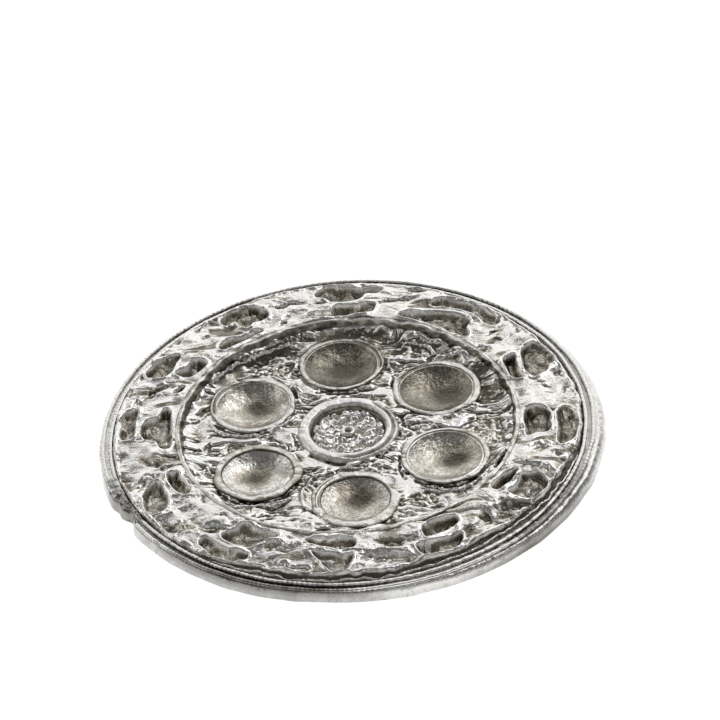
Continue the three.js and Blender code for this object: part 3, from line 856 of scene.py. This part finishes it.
class DISH_OT_side_band(bpy.types.Operator):
    """Make the flared side wall and the ledge under the ropes"""

    bl_idname = "dish.side_band"
    bl_label = "Side wall"

    def execute(self, context):
        angles = turn(1500)
        sweep = np.degrees(angles)
        outer = by_angle(angles, SIDE_EDGE)
        for middle, half, depth in EDGE_BITES:
            outer -= depth * hump(sweep, middle, half)
        outer += 0.12 * hills(47 * np.cos(angles), 47 * np.sin(angles), 3, 81)
        ledge_end = np.minimum(OUTER_ROPE_MIDDLE + 0.35, outer - 0.5)
        ledge_top = heights("side_band")[1] + 0.55
        inner = np.full(len(angles), LEDGE_INNER)
        profile = [(inner, BASE_TOP), (inner, ledge_top - 0.1)]
        for share in np.linspace(0, 1, 16):
            profile.append((mixed(inner + 0.02, ledge_end, share), ledge_top - 0.12 * share))
        for share in np.linspace(0.06, 1, 16):
            out = math.sin(share * math.pi / 2)
            down = 1 - math.cos(share * math.pi / 2)
            level = mixed(ledge_top - 0.12, BASE_TOP + 0.55, down)
            profile.append((mixed(ledge_end, outer, out), level))
        for inset, up in ((0.05, 0.3), (0.3, 0.1), (0.9, 0.0)):
            profile.append((outer - inset, BASE_TOP + up))
        radii = np.array([radius for radius, _ in profile])
        levels = np.repeat([[level] for _, level in profile], len(angles), axis=1)
        x, y = turned_grid(radii, angles)
        # The lines of the profile on top of the ledge and down the wall
        worn = slice(3, 32)
        rugged = 0.35 + 0.65 * by_angle(angles, EDGE_RUGGED)
        levels[worn] += (rugged * 0.1 * rough(x, y, 1.1, 82))[worn]
        levels[worn] += 0.025 * rough(x, y, 0.45, 83, 2)[worn]
        crumbled = hump(sweep, 202, 8)
        levels[worn] += (crumbled * (0.3 + 0.8 * rough(x, y, 1.5, 84)))[worn]
        levels = np.minimum(levels, CREST)
        groove = hump(radii - OUTER_ROPE_MIDDLE, -0.85, 0.5)
        shoulder = hump(levels - ledge_top, -0.7, 0.5) * (radii > OUTER_ROPE_MIDDLE)
        # Patina and painted shade by direction round the dish, heavier in the groove and on the shoulder
        edge = by_angle(angles, EDGE_PATINA_AND_SHADE)[None]
        patina = 0.22 + (0.3 + 0.6 * edge) * groove + 0.45 * edge + 0.4 * shoulder * np.maximum(edge, 0)
        # Patina and painted shade at the foot of the wall, on some sides only
        foot = 1 - smooth_step(BASE_TOP + 0.6, BASE_TOP + 2.2, levels)
        patina += foot * by_angle(angles, FOOT_PATINA_AND_SHADE)[None]
        patina += 0.06 * hills(x, y, 2.3, 85)
        patina += 0.35 * crumbled
        piece = add_grid("side_wall", np.stack([x, y, levels], 2), patina)
        finish(piece, "side_band", "body_silver", "wall_silver")
        return {"FINISHED"}


class DISH_OT_relief_ring(bpy.types.Operator):
    """Make the pocketed relief of the rim"""

    bl_idname = "dish.relief_ring"
    bl_label = "Relief ring"

    def execute(self, context):
        relief = Relief(context.scene.dish_looks)
        radii = np.linspace(BEZEL_OUTER + 0.12, LEDGE_INNER, 84)
        angles = turn(1900)
        x, y = turned_grid(radii, angles)
        z = relief.height(x, y)
        patina = 0.01 + 0.4 * cavity(z, 4, 0.08) * (1 - 0.6 * relief.wall) + 0.34 * relief.wall
        patina += 0.58 * relief.smudges * (1 - relief.wall) * (1 - relief.rim) - 0.35 * relief.rim
        # Patina and painted shade by direction round the dish
        patina += by_angle(angles, RELIEF_PATINA_AND_SHADE)[None]
        patina -= 0.12 * np.clip(hills(x, y, 2.7, 53), -0.6, 0.6)
        patina += 0.6 * cavity(z, 24, 0.4) * (1 - 0.85 * relief.wall)
        patina += 0.12 * relief.nicks + 0.14 * hills(x, y, 1.6, 52)
        # The groove beside the ropes darker by direction: patina in the hollow and painted shade, less on
        # its bead
        patina += by_angle(angles, GROOVE_PATINA_AND_SHADE)[None] * relief.beyond * (1 - 0.85 * relief.bead)
        piece = ring_solid("relief_ring_cast", radii, angles, z, BASE_TOP, patina)
        finish(piece, "relief_ring", "body_silver")
        return {"FINISHED"}


class DISH_OT_border_bezel(bpy.types.Operator):
    """Make the thin ridge between the rim and the field"""

    bl_idname = "dish.border_bezel"
    bl_label = "Border ridge"

    def execute(self, context):
        angles = turn(1200)
        x, y = 32 * np.cos(angles), 32 * np.sin(angles)
        sway = 0.16 * hills(x, y, 3.5, 91) + 0.06 * hills(x, y, 1.2, 95)
        lift = 0.24 * hills(x, y, 2.3, 92) - 0.2
        inner = BEZEL_INNER
        outer = BEZEL_OUTER + 0.12
        # Radius, level, and how much of the sway and lift each line of the profile takes
        profile = [(inner, BASE_TOP, 0), (inner, FIELD_TOP + 0.3, 0)]
        for share in np.linspace(0, 1, 14):
            level = mixed(FIELD_TOP + 0.4, CREST - 0.35, share)
            profile.append((inner - 0.25 + 0.5 * share**2, level, share))
        for degrees in range(150, 29, -20):
            across = math.cos(math.radians(degrees))
            up = math.sin(math.radians(degrees))
            profile.append(((inner + outer) / 2 + 0.3 * across, CREST - 0.25 + 0.22 * up, 1))
        profile += [(outer - 0.04, CREST - 0.13, 0), (outer, CREST - 0.17, 0), (outer, BASE_TOP, 0)]
        radii = np.array([radius + sway * share for radius, _, share in profile])
        levels = np.array([level + lift * share for _, level, share in profile])
        x, y = turned_grid(radii, angles)
        # The lines of the profile on the inner side
        side = slice(2, 17)
        radii[side] += (0.34 * rough(x, y + levels, 1.3, 93))[side]
        x, y = turned_grid(radii, angles)
        # Patina and painted shade: the inner wall darkest at its foot by the field and lighter upwards,
        # the crest light
        shade = np.array([0.5, 0.5, *np.linspace(0.95, 0.6, 14), *[0.12] * 7, 0.35, 0.4, 0.4])
        patina = shade[:, None] + 0.6 * rough(x, y + levels, 1.4, 94)
        piece = add_grid("border_ridge", np.stack([x, y, levels], 2), patina)
        finish(piece, "border_bezel", "bright_silver")
        return {"FINISHED"}


# How far apart the beads of the ropes stand, as (degrees, times the pitch)
BEAD_STRETCH = [(200, 0.9), (270, 1.0), (288, 2.6), (318, 2.4), (335, 1.2), (90, 1.6), (140, 1.1)]


class DISH_OT_ropes(bpy.types.Operator):
    """Make the two beaded rope wires"""

    bl_idname = "dish.ropes"
    bl_label = "Rope wires"

    def execute(self, context):
        pitch = context.scene.dish_looks.bead_pitch / MM
        self.make("inner_rope_wire", "inner_rope", ROPE_MIDDLE, pitch, 101, 0.5)
        self.make("outer_rope_wire", "outer_rope", OUTER_ROPE_MIDDLE - 0.15, pitch * 0.9, 111, 1.3)
        return {"FINISHED"}

    def make(self, node, name, ring, pitch, seed, dark_near):
        """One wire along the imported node's arc, from one end of its gap round to the other."""
        points = node_points(node)[:, :2] - RINGS
        around = np.sort(np.degrees(np.arctan2(points[:, 1], points[:, 0])) % 360)
        gap = np.diff(around)
        start = around[gap.argmax() + 1]
        sweep = 360 - gap.max()
        wire = (heights(node)[1] - heights(node)[0]) / 2
        level = sum(heights(node)) / 2
        length = math.radians(sweep) * ring
        count = int(length / 0.16)
        angles = np.radians(start + np.linspace(0, 1, count) * sweep)
        run = np.linspace(0, length, count)
        section = turn(14)
        x, y = ring * np.cos(angles), ring * np.sin(angles)
        wander = 0.1 * hills(x, y, 5, seed)
        stretch = by_angle(angles, BEAD_STRETCH)
        phase = np.cumsum(np.gradient(run) / (pitch * stretch)) * FULL_TURN
        beads = np.cos(phase[:, None] + 0.5 * np.sin(section)[None])
        strength = 0.5 + 0.5 * smooth_step(-0.5, 0.4, hills(x, y, 4, seed + 1))
        radius = wire * (0.86 + 0.06 * strength[:, None] * beads)
        radius = radius * (1 + 0.1 * hills(x, y, 0.7, seed + 2))[:, None]
        ends = np.clip(np.minimum(run, length - run) / 0.8, 0, 1) ** 0.5
        radius = radius * (0.3 + 0.7 * ends)[:, None]
        across = ring + wander[:, None] + radius * np.cos(section)[None]
        up = level - 0.02 + radius * np.minimum(np.sin(section), 0.74)[None]
        grid = np.stack([across * np.cos(angles)[:, None], across * np.sin(angles)[:, None], up], 2)
        # Patina and painted shade by direction round the dish, stronger on the outer wire
        side_patina_and_shade = by_angle(angles, ROPE_PATINA_AND_SHADE)[:, None] * dark_near
        patina = 0.2 - 0.14 * beads * strength[:, None] - 0.25 * np.sin(section)[None] + side_patina_and_shade
        patina = patina + 0.15 * hills(x, y, 1.2, seed + 3)[:, None]
        piece = add_grid(name, grid.transpose(1, 0, 2), patina.T, "columns")
        finish(piece, node, "bright_silver", "wall_silver")


# The size of the sunk field's cells, mm
FIELD_STEP = 0.16


class DISH_OT_field_plate(bpy.types.Operator):
    """Make the rough sunk floor between the wells"""

    bl_idname = "dish.field_plate"
    bl_label = "Sunk field"

    def execute(self, context):
        field = Field()
        radius = BEZEL_INNER - 0.05
        step = FIELD_STEP
        ticks = np.arange(-radius - step, radius + 2 * step, step)
        x, y = np.meshgrid(ticks, ticks, indexing="ij")
        cx, cy = x[:-1, :-1] + step / 2, y[:-1, :-1] + step / 2
        keep = np.hypot(cx, cy) < radius
        x, y = self.snap(x, y, (0, 0), radius, step, 1)
        hole = CUP_OUTER + 0.3
        for place in [(0.0, 0.0), *WELL_PLACES]:
            keep &= np.hypot(cx - place[0], cy - place[1]) > hole
            x, y = self.snap(x, y, place, hole, step, -1)
        top = field.height(x, y)
        patina = field.patina(x, y) + 1.0 * cavity(top, 24, 0.3, turns=False)
        patina += 0.9 * cavity(top, 4, 0.07, turns=False)
        piece = dish_grid_solid("sunk_field", x, y, keep, top, BASE_TOP, patina)
        finish(piece, "field_plate", "patina_silver")
        return {"FINISHED"}

    def snap(self, x, y, place, radius, step, side):
        """Moves the corners near a circle onto it, so a cut edge is round."""
        dx, dy = x - place[0], y - place[1]
        distance = np.hypot(dx, dy)
        near = (np.abs(distance - radius) < 0.8 * step) & ((distance - radius) * side > -0.45 * step)
        pull = np.where(near, radius / np.maximum(distance, 1e-6), 1.0)
        return place[0] + dx * pull, place[1] + dy * pull


# How much darker each bowl is made, and where its darkest spot lies, in mm from its middle
BOWL_SHADES = [0.66, 0.28, 0.16, 0.28, 0.3, 0.6]
BOWL_SPOTS = [(0.6, -0.2), (1.2, 0.6), (-0.5, 0.2), (0.8, 1.6), (1.8, 0.3), (2.2, -0.6)]


class DISH_OT_cups(bpy.types.Operator):
    """Make the six bowls"""

    bl_idname = "dish.cups"
    bl_label = "Bowls"

    def execute(self, context):
        angles = turn(280)
        for i, place in enumerate(WELL_PLACES):
            radius = CUP_OUTER - CUP_WALL
            radii = np.linspace(0.15, radius, 52)
            x, y = turned_grid(radii, angles)
            gx, gy = x + place[0], y + place[1]
            depth = FIELD_TOP - BASE_TOP - 0.3
            share = np.hypot(x, y) / radius
            z = FIELD_TOP + 0.25 - (depth + 0.25) * (1 - share**2.4)
            z += 0.09 * hills(gx, gy, 2.4, 121 + i) * (1 - share**4)
            z += 0.05 * rough(gx, gy, 0.7, 131 + i)
            z = np.maximum(z, BASE_TOP + 0.12)
            spot_x, spot_y = BOWL_SPOTS[i]
            dark = np.exp(-(((x - spot_x) / 2.6) ** 2 + ((y - spot_y) / 2.2) ** 2))
            # Painted shadow under the lip: each bowl is darker in a ring just inside its rim
            edge = smooth_step(0.86, 1, share)
            patina = BOWL_SHADES[i] + 0.95 * dark + 0.15 * edge + 0.2 * rough(gx, gy, 1.8, 141 + i)
            patina += 0.7 * cavity(z, 4, 0.06)
            full = np.append(radii, [CUP_OUTER - 0.02])
            top = np.vstack([z, np.full((1, len(angles)), FIELD_TOP)])
            patina = np.vstack([patina, patina[-1:]])
            piece = disc_solid(f"bowl_{i + 1}", full, angles, top, BASE_TOP, patina, place)
            finish(piece, f"cup_{i + 1}", "patina_silver", "bowl_silver")
        return {"FINISHED"}


# The lips of the six wells: how far each moves inwards, and (degrees, extra width) round it, mm
LIP_INNER = [0.0, -0.05, -0.55, -0.8, 0.05, 0.0]
LIP_WIDTHS = [
    [(0, 0.1), (60, 0.4), (150, 0.2), (200, 0.1), (260, -0.2), (320, -0.3)],
    [(0, 0.0), (60, 0.2), (120, 0.0), (190, 0.2), (250, 0.3), (320, -0.1)],
    [(0, 0.2), (60, -0.2), (120, 0.0), (190, 0.1), (250, 0.0), (320, 0.0)],
    [(0, 0.2), (60, 0.1), (120, -0.1), (190, 0.1), (250, 0.0), (320, 0.3)],
    [(0, 0.1), (60, 0.2), (120, 0.2), (190, 0.2), (250, 0.0), (320, 0.0)],
    [(0, 0.6), (60, 0.5), (120, 0.1), (190, 0.0), (250, -0.3), (320, 0.5)],
]

# How much darker each lip is made
LIP_SHADES = [0.22, 0.04, 0.22, 0.14, 0.1, 0.12]

# Where a lip is split in two by a dark groove: well, first and last degree
SPLIT_LIPS = [(0, -20, 75), (5, 95, 165), (1, 95, 200), (3, 120, 200)]


def lip_profile(shares, inset, lean, flatness):
    """The height of a lip from its inner edge to its outer one, from 0 to 1, in one column."""
    across = 2 * np.clip(shares, inset, 1 - inset) ** lean - 1
    return ((1 - np.abs(across) ** flatness) ** 0.8)[:, None]


class DISH_OT_cup_collars(bpy.types.Operator):
    """Make the raised lips round the six bowls"""

    bl_idname = "dish.cup_collars"
    bl_label = "Well lips"

    def execute(self, context):
        angles = turn(420)
        shares = np.linspace(0, 1, 18)
        share = shares[:, None]
        crown = lip_profile(shares, 0.01, 0.85, 3.6)
        rise = heights("cup_collar_1")[1] - FIELD_TOP
        for i, place in enumerate(WELL_PLACES):
            extra = by_angle(angles, LIP_WIDTHS[i])
            cx, cy = COLLAR_OUTER * np.cos(angles), COLLAR_OUTER * np.sin(angles)
            edge = (cx + place[0], cy + place[1])
            extra = 0.9 * extra + 0.32 * hills(*edge, 3.0, 151 + i) + 0.04 * hills(*edge, 1.1, 241 + i)
            inner = COLLAR_INNER - 0.05 + LIP_INNER[i] + 0.13 * hills(cx, cy, 3, 161 + i)
            outer = np.maximum(COLLAR_OUTER - 0.45 + extra, np.maximum(inner + 0.75, CUP_OUTER + 0.35))
            radii = mixed(inner[None], outer[None], share)
            x, y = turned_grid(radii, angles)
            gx, gy = x + place[0], y + place[1]
            z = FIELD_TOP + 0.15 + (rise - 0.35) * crown * (0.92 + 0.4 * hills(gx, gy, 2.7, 171 + i))
            z += 0.05 * rough(gx, gy, 1.0, 201 + i)
            groove = self.split(i, angles) * hump(share, 0.45, 0.16)
            z -= 0.4 * groove
            notches = creases(0.6 * gx, 1.1 * gy, 1.9, 251 + i)
            notches *= smooth_step(-0.2, 0.5, hills(gx, gy, 3.1, 261 + i))
            z -= 0.13 * notches
            z += 0.03 * rough(gx, gy, 0.5, 181 + i, 2)
            patina = LIP_SHADES[i] + 0.8 - 0.86 * crown + 0.75 * groove
            patina += 0.34 * rough(0.6 * gx, 1.3 * gy, 1.1, 191 + i)
            patina += 0.4 * hump(share, 0.1, 0.08) + 0.45 * notches
            piece = ring_solid(f"well_lip_{i + 1}", radii, angles, z, FIELD_TOP - 0.01, patina, place)
            finish(piece, f"cup_collar_{i + 1}", "bright_silver")
        return {"FINISHED"}

    def split(self, well, angles):
        """How deep the groove that splits a well's lip is at each angle, from 0 to 1."""
        amount = np.zeros(len(angles))
        for number, first, last in SPLIT_LIPS:
            if number == well:
                middle, half = (first + last) / 2, (last - first) / 2
                away = degrees_from(angles, middle)
                amount = np.maximum(amount, 1 - smooth_step(half - 12, half, away))
        return amount[None]


class DISH_OT_centre_well(bpy.types.Operator):
    """Make the centre cup, its wide lip, the granulated disc and its boss"""

    bl_idname = "dish.centre_well"
    bl_label = "Centre well"

    def execute(self, context):
        self.cup()
        self.lip()
        self.rosette()
        self.boss()
        return {"FINISHED"}

    def cup(self):
        """The flat-bottomed cup."""
        angles = turn(160)
        floor = heights("centre_rosette")[0]
        inner = CUP_OUTER - CUP_WALL
        radii = [0.2, 3, inner - 0.05, inner, inner, CUP_OUTER - 0.02]
        levels = np.array([floor, floor, floor, floor + 0.05, FIELD_TOP, FIELD_TOP])
        top = np.repeat(levels[:, None], len(angles), axis=1)
        x, y = turned_grid(radii, angles)
        patina = 0.6 + 0.2 * hills(x, y, 1.2, 201)
        piece = disc_solid("centre_bowl", radii, angles, top, BASE_TOP, patina)
        finish(piece, "centre_cup", "patina_silver")

    def lip(self):
        """The wide lip, split by a groove on one side."""
        angles = turn(520)
        shares = np.linspace(0, 1, 30)
        share = shares[:, None]
        crown = lip_profile(shares, 0.02, 0.8, 3.5)
        cx, cy = CENTRE_COLLAR_OUTER * np.cos(angles), CENTRE_COLLAR_OUTER * np.sin(angles)
        inner = COLLAR_INNER - 0.05 + 0.08 * hills(cx, cy, 3, 211)
        outer = CENTRE_COLLAR_OUTER + 0.1 + 0.25 * hills(cx, cy, 3.4, 212)
        radii = mixed(inner[None], outer[None], share)
        x, y = turned_grid(radii, angles)
        rise = heights("centre_collar")[1] - FIELD_TOP
        marks = hills(angles[None] * 14 + 0 * radii, radii * 0.35, 0.8, 213)
        z = FIELD_TOP + 0.02 + (rise - 0.2) * crown * (1 + 0.08 * hills(x, y, 2.2, 214))
        groove = (1 - smooth_step(60, 85, degrees_from(angles, -20))) * hump(share, 0.6, 0.13)
        z -= 0.5 * groove
        z += 0.05 * marks * smooth_step(0.2, 0.5, share)
        z += 0.02 * rough(x, y, 0.5, 215, 2)
        patina = 0.6 - 0.66 * crown + 0.7 * groove + 0.15 * marks + 0.15 * hills(x, y, 1.1, 216)
        piece = ring_solid("centre_lip", radii, angles, z, FIELD_TOP - 0.01, patina)
        finish(piece, "centre_collar", "bright_silver")

    def rosette(self):
        """The disc of round grains, a little hollow in its middle."""
        angles = turn(300)
        radii = np.linspace(0.12, ROSETTE_RADIUS, 56)
        x, y = turned_grid(radii, angles)
        bottom, top = heights("centre_rosette")
        grains = self.granules(*swayed(x, y, 0.35, 1.4, 224), 1.45, 221)
        z = top - 0.45 + 0.6 * grains * (1 + 0.3 * hills(x, y, 1.6, 226)) + 0.08 * rough(x, y, 0.6, 222, 2)
        z -= 0.3 * smooth_step(ROSETTE_RADIUS - 1.0, ROSETTE_RADIUS, np.hypot(x, y))
        z -= 0.45 * np.exp(-((x**2 + y**2) / 5.5))
        patina = 0.45 - 0.8 * grains + 0.2 * hills(x, y, 1.7, 223)
        piece = disc_solid("granulated_disc", radii, angles, z, bottom, patina)
        finish(piece, "centre_rosette", "patina_silver")

    def granules(self, x, y, size, seed):
        """Round grains packed side by side, 1 at each top and 0 between them."""
        i, j = np.floor(x / size).astype(int), np.floor(y / size).astype(int)
        along_x, along_y = ((lattice(seed + k) + 1) / 2 for k in (0, 1))
        nearest = np.full(x.shape, 9.0)
        for di in (-1, 0, 1):
            for dj in (-1, 0, 1):
                a, b = i + di, j + dj
                cell = (a % LATTICE_SIDE, b % LATTICE_SIDE)
                px = (a + 0.5 + 0.7 * (along_x[cell] - 0.5)) * size
                py = (b + 0.5 + 0.7 * (along_y[cell] - 0.5)) * size
                nearest = np.minimum(nearest, np.hypot(x - px, y - py))
        return np.clip(1 - (nearest / (0.62 * size)) ** 2, 0, 1) ** 0.7

    def boss(self):
        """The small round boss with a pit in it."""
        angles = turn(72)
        radii = np.linspace(0.05, BOSS_RADIUS, 22)
        x, y = turned_grid(radii, angles)
        bottom, top = heights("centre_boss")
        r = np.hypot(x, y)
        crown = np.sqrt(np.clip(1 - ((r - 0.95) / 0.62) ** 2, 0, 1))
        pit = np.exp(-(((x - 0.1) / 0.62) ** 2 + ((y + 0.05) / 0.55) ** 2))
        z = bottom + 0.1 + (top - bottom - 0.12) * np.maximum(crown, 0.25) - 0.25 * pit
        z += 0.04 * rough(x, y, 0.5, 231, 2)
        z = np.minimum(z, top)
        patina = 0.25 + 0.8 * pit - 0.2 * crown
        piece = disc_solid("centre_knob", radii, angles, z, bottom, patina)
        finish(piece, "centre_boss", "bright_silver")


# Half the floor's side, in metres
FLOOR_HALF = 4.0

# Light in the sky: direction, the cosines where it begins and where it is full, and its strength
SKY_LIGHTS = [
    ((0.1, 0.95, 0.28), 0.765, 0.845, 0.91),
    ((0.36, 0.45, 0.8), 0.962, 0.988, 2.4),
    ((0.0, -0.55, 0.8), 0.4, 1.0, 0.07),
    ((-0.3, -0.5, 0.81), 0.975, 0.992, 0.8),
    ((0.2, -0.75, 0.6), 0.975, 0.992, 0.8),
    ((0.72, -0.15, 0.67), 0.975, 0.992, 0.8),
    ((-0.75, 0.1, 0.65), 0.975, 0.992, 0.8),
]

# The camera: degrees above the floor, roll in radians, metres from the point it looks at, that
# point in mm from the middle of the rings, and the lens and its frame in mm
CAMERA_ELEVATION = 37.61
CAMERA_ROLL = -0.0808
CAMERA_DISTANCE = 0.6832
CAMERA_AIM = (3.37, 21.12, 3.0)
CAMERA_LENS = 174.6
CAMERA_FRAME = 36


class DISH_OT_stage(bpy.types.Operator):
    """Make the floor, the soft studio light and the camera"""

    bl_idname = "dish.stage"
    bl_label = "Stage"

    def execute(self, context):
        self.floor(context.scene.dish_looks)
        self.light(context.scene)
        self.camera(context.scene)
        return {"FINISHED"}

    def floor(self, looks):
        """A plain pale floor that glows, so that it stays even and nearly white."""
        mesh = bpy.data.meshes.new("stage_floor")
        signs = ((-1, -1), (1, -1), (1, 1), (-1, 1))
        mesh.from_pydata([(FLOOR_HALF * a, FLOOR_HALF * b, 0) for a, b in signs], [], [(0, 1, 2, 3)])
        floor = bpy.data.objects.new("stage_floor", mesh)
        bpy.context.scene.collection.objects.link(floor)
        material = bpy.data.materials.new("stage_floor")
        material.use_nodes = True
        shader = material.node_tree.nodes["Principled BSDF"]
        shader.inputs["Base Color"].default_value = (*looks.floor_colour, 1)
        shader.inputs["Roughness"].default_value = 0.9
        shader.inputs["Specular IOR Level"].default_value = 0.0
        shader.inputs["Emission Color"].default_value = (1, 1, 1, 1)
        shader.inputs["Emission Strength"].default_value = 0.95
        mesh.materials.append(material)

    def light(self, scene):
        """A dim room with a window, a bright patch, a faint fill, four small lamps and a soft box."""
        world = bpy.data.worlds.new("studio")
        scene.world = world
        world.use_nodes = True
        tree = world.node_tree
        sky = tree.nodes["Background"]
        sky.inputs["Color"].default_value = (1, 1, 1, 1)
        toward = tree.nodes.new("ShaderNodeTexCoord").outputs["Generated"]
        level = tree.nodes.new("ShaderNodeSeparateXYZ")
        tree.links.new(toward, level.inputs["Vector"])
        low = maths(tree, "SUBTRACT", 1.0, span(tree, level.outputs["Z"], 0.25, 0.5))
        glow = maths(tree, "ADD", maths(tree, "MULTIPLY", low, 0.4), 0.075)
        for direction, begins, full, strength in SKY_LIGHTS:
            lit = span(tree, facing(tree, toward, direction), begins, full)
            glow = maths(tree, "ADD", glow, maths(tree, "MULTIPLY", lit, strength))
        tree.links.new(glow, sky.inputs["Strength"])
        self.soft_box(scene, "key_light", (-0.9, 0.5, 0.9), 0.7, 1.5)
        scene.view_settings.view_transform = "Standard"
        scene.view_settings.look = "None"

    def soft_box(self, scene, name, place, size, power):
        """A square light that faces the dish."""
        light = bpy.data.lights.new(name, "AREA")
        light.shape = "SQUARE"
        light.size = size
        light.energy = power
        box = bpy.data.objects.new(name, light)
        box.location = place
        box.rotation_euler = (-Vector(place)).to_track_quat("-Z", "Y").to_euler()
        scene.collection.objects.link(box)

    def camera(self, scene):
        """A long lens from the front and above, tipped a little to one side."""
        elevation, roll = math.radians(CAMERA_ELEVATION), CAMERA_ROLL
        aim = Vector((RINGS[0] + CAMERA_AIM[0], RINGS[1] + CAMERA_AIM[1], CAMERA_AIM[2])) * MM
        ahead = Vector((0, math.cos(elevation), -math.sin(elevation)))
        right = Vector((1, 0, 0))
        up = Vector((0, math.sin(elevation), math.cos(elevation)))
        across = math.cos(roll) * right + math.sin(roll) * up
        above = -math.sin(roll) * right + math.cos(roll) * up
        lens = bpy.data.cameras.new("camera")
        lens.sensor_width = CAMERA_FRAME
        lens.lens = CAMERA_LENS
        camera = bpy.data.objects.new("camera", lens)
        spin = Matrix((across, above, -ahead)).transposed()
        camera.matrix_world = Matrix.Translation(aim - CAMERA_DISTANCE * ahead) @ spin.to_4x4()
        scene.collection.objects.link(camera)
        scene.camera = camera


class DISH_PT_panel(bpy.types.Panel):
    """The dish's settings and the steps that build it"""

    bl_idname = "DISH_PT_panel"
    bl_label = "Display dish"
    bl_space_type = "VIEW_3D"
    bl_region_type = "UI"
    bl_category = "Dish"

    def draw(self, context):
        for name in DishLooks.__annotations__:
            self.layout.prop(context.scene.dish_looks, name)
        for step in STEPS:
            self.layout.operator(step.bl_idname)


STEPS = (
    DISH_OT_stage,
    DISH_OT_base_plate,
    DISH_OT_side_band,
    DISH_OT_relief_ring,
    DISH_OT_border_bezel,
    DISH_OT_ropes,
    DISH_OT_field_plate,
    DISH_OT_cups,
    DISH_OT_cup_collars,
    DISH_OT_centre_well,
)
CLASSES = (DishLooks, *STEPS, DISH_PT_panel)


def register():
    """Adds the settings, steps and panel to Blender."""
    for each in CLASSES:
        bpy.utils.register_class(each)
    bpy.types.Scene.dish_looks = bpy.props.PointerProperty(type=DishLooks)


def unregister():
    """Takes the settings, steps and panel out of Blender again."""
    del bpy.types.Scene.dish_looks
    for each in reversed(CLASSES):
        bpy.utils.unregister_class(each)


def main():
    """Builds the whole dish and its stage."""
    register()
    bpy.ops.dish.stage()
    bpy.ops.dish.base_plate()
    bpy.ops.dish.side_band()
    bpy.ops.dish.relief_ring()
    bpy.ops.dish.border_bezel()
    bpy.ops.dish.ropes()
    bpy.ops.dish.field_plate()
    bpy.ops.dish.cups()
    bpy.ops.dish.cup_collars()
    bpy.ops.dish.centre_well()


if __name__ == "__main__":
    main()
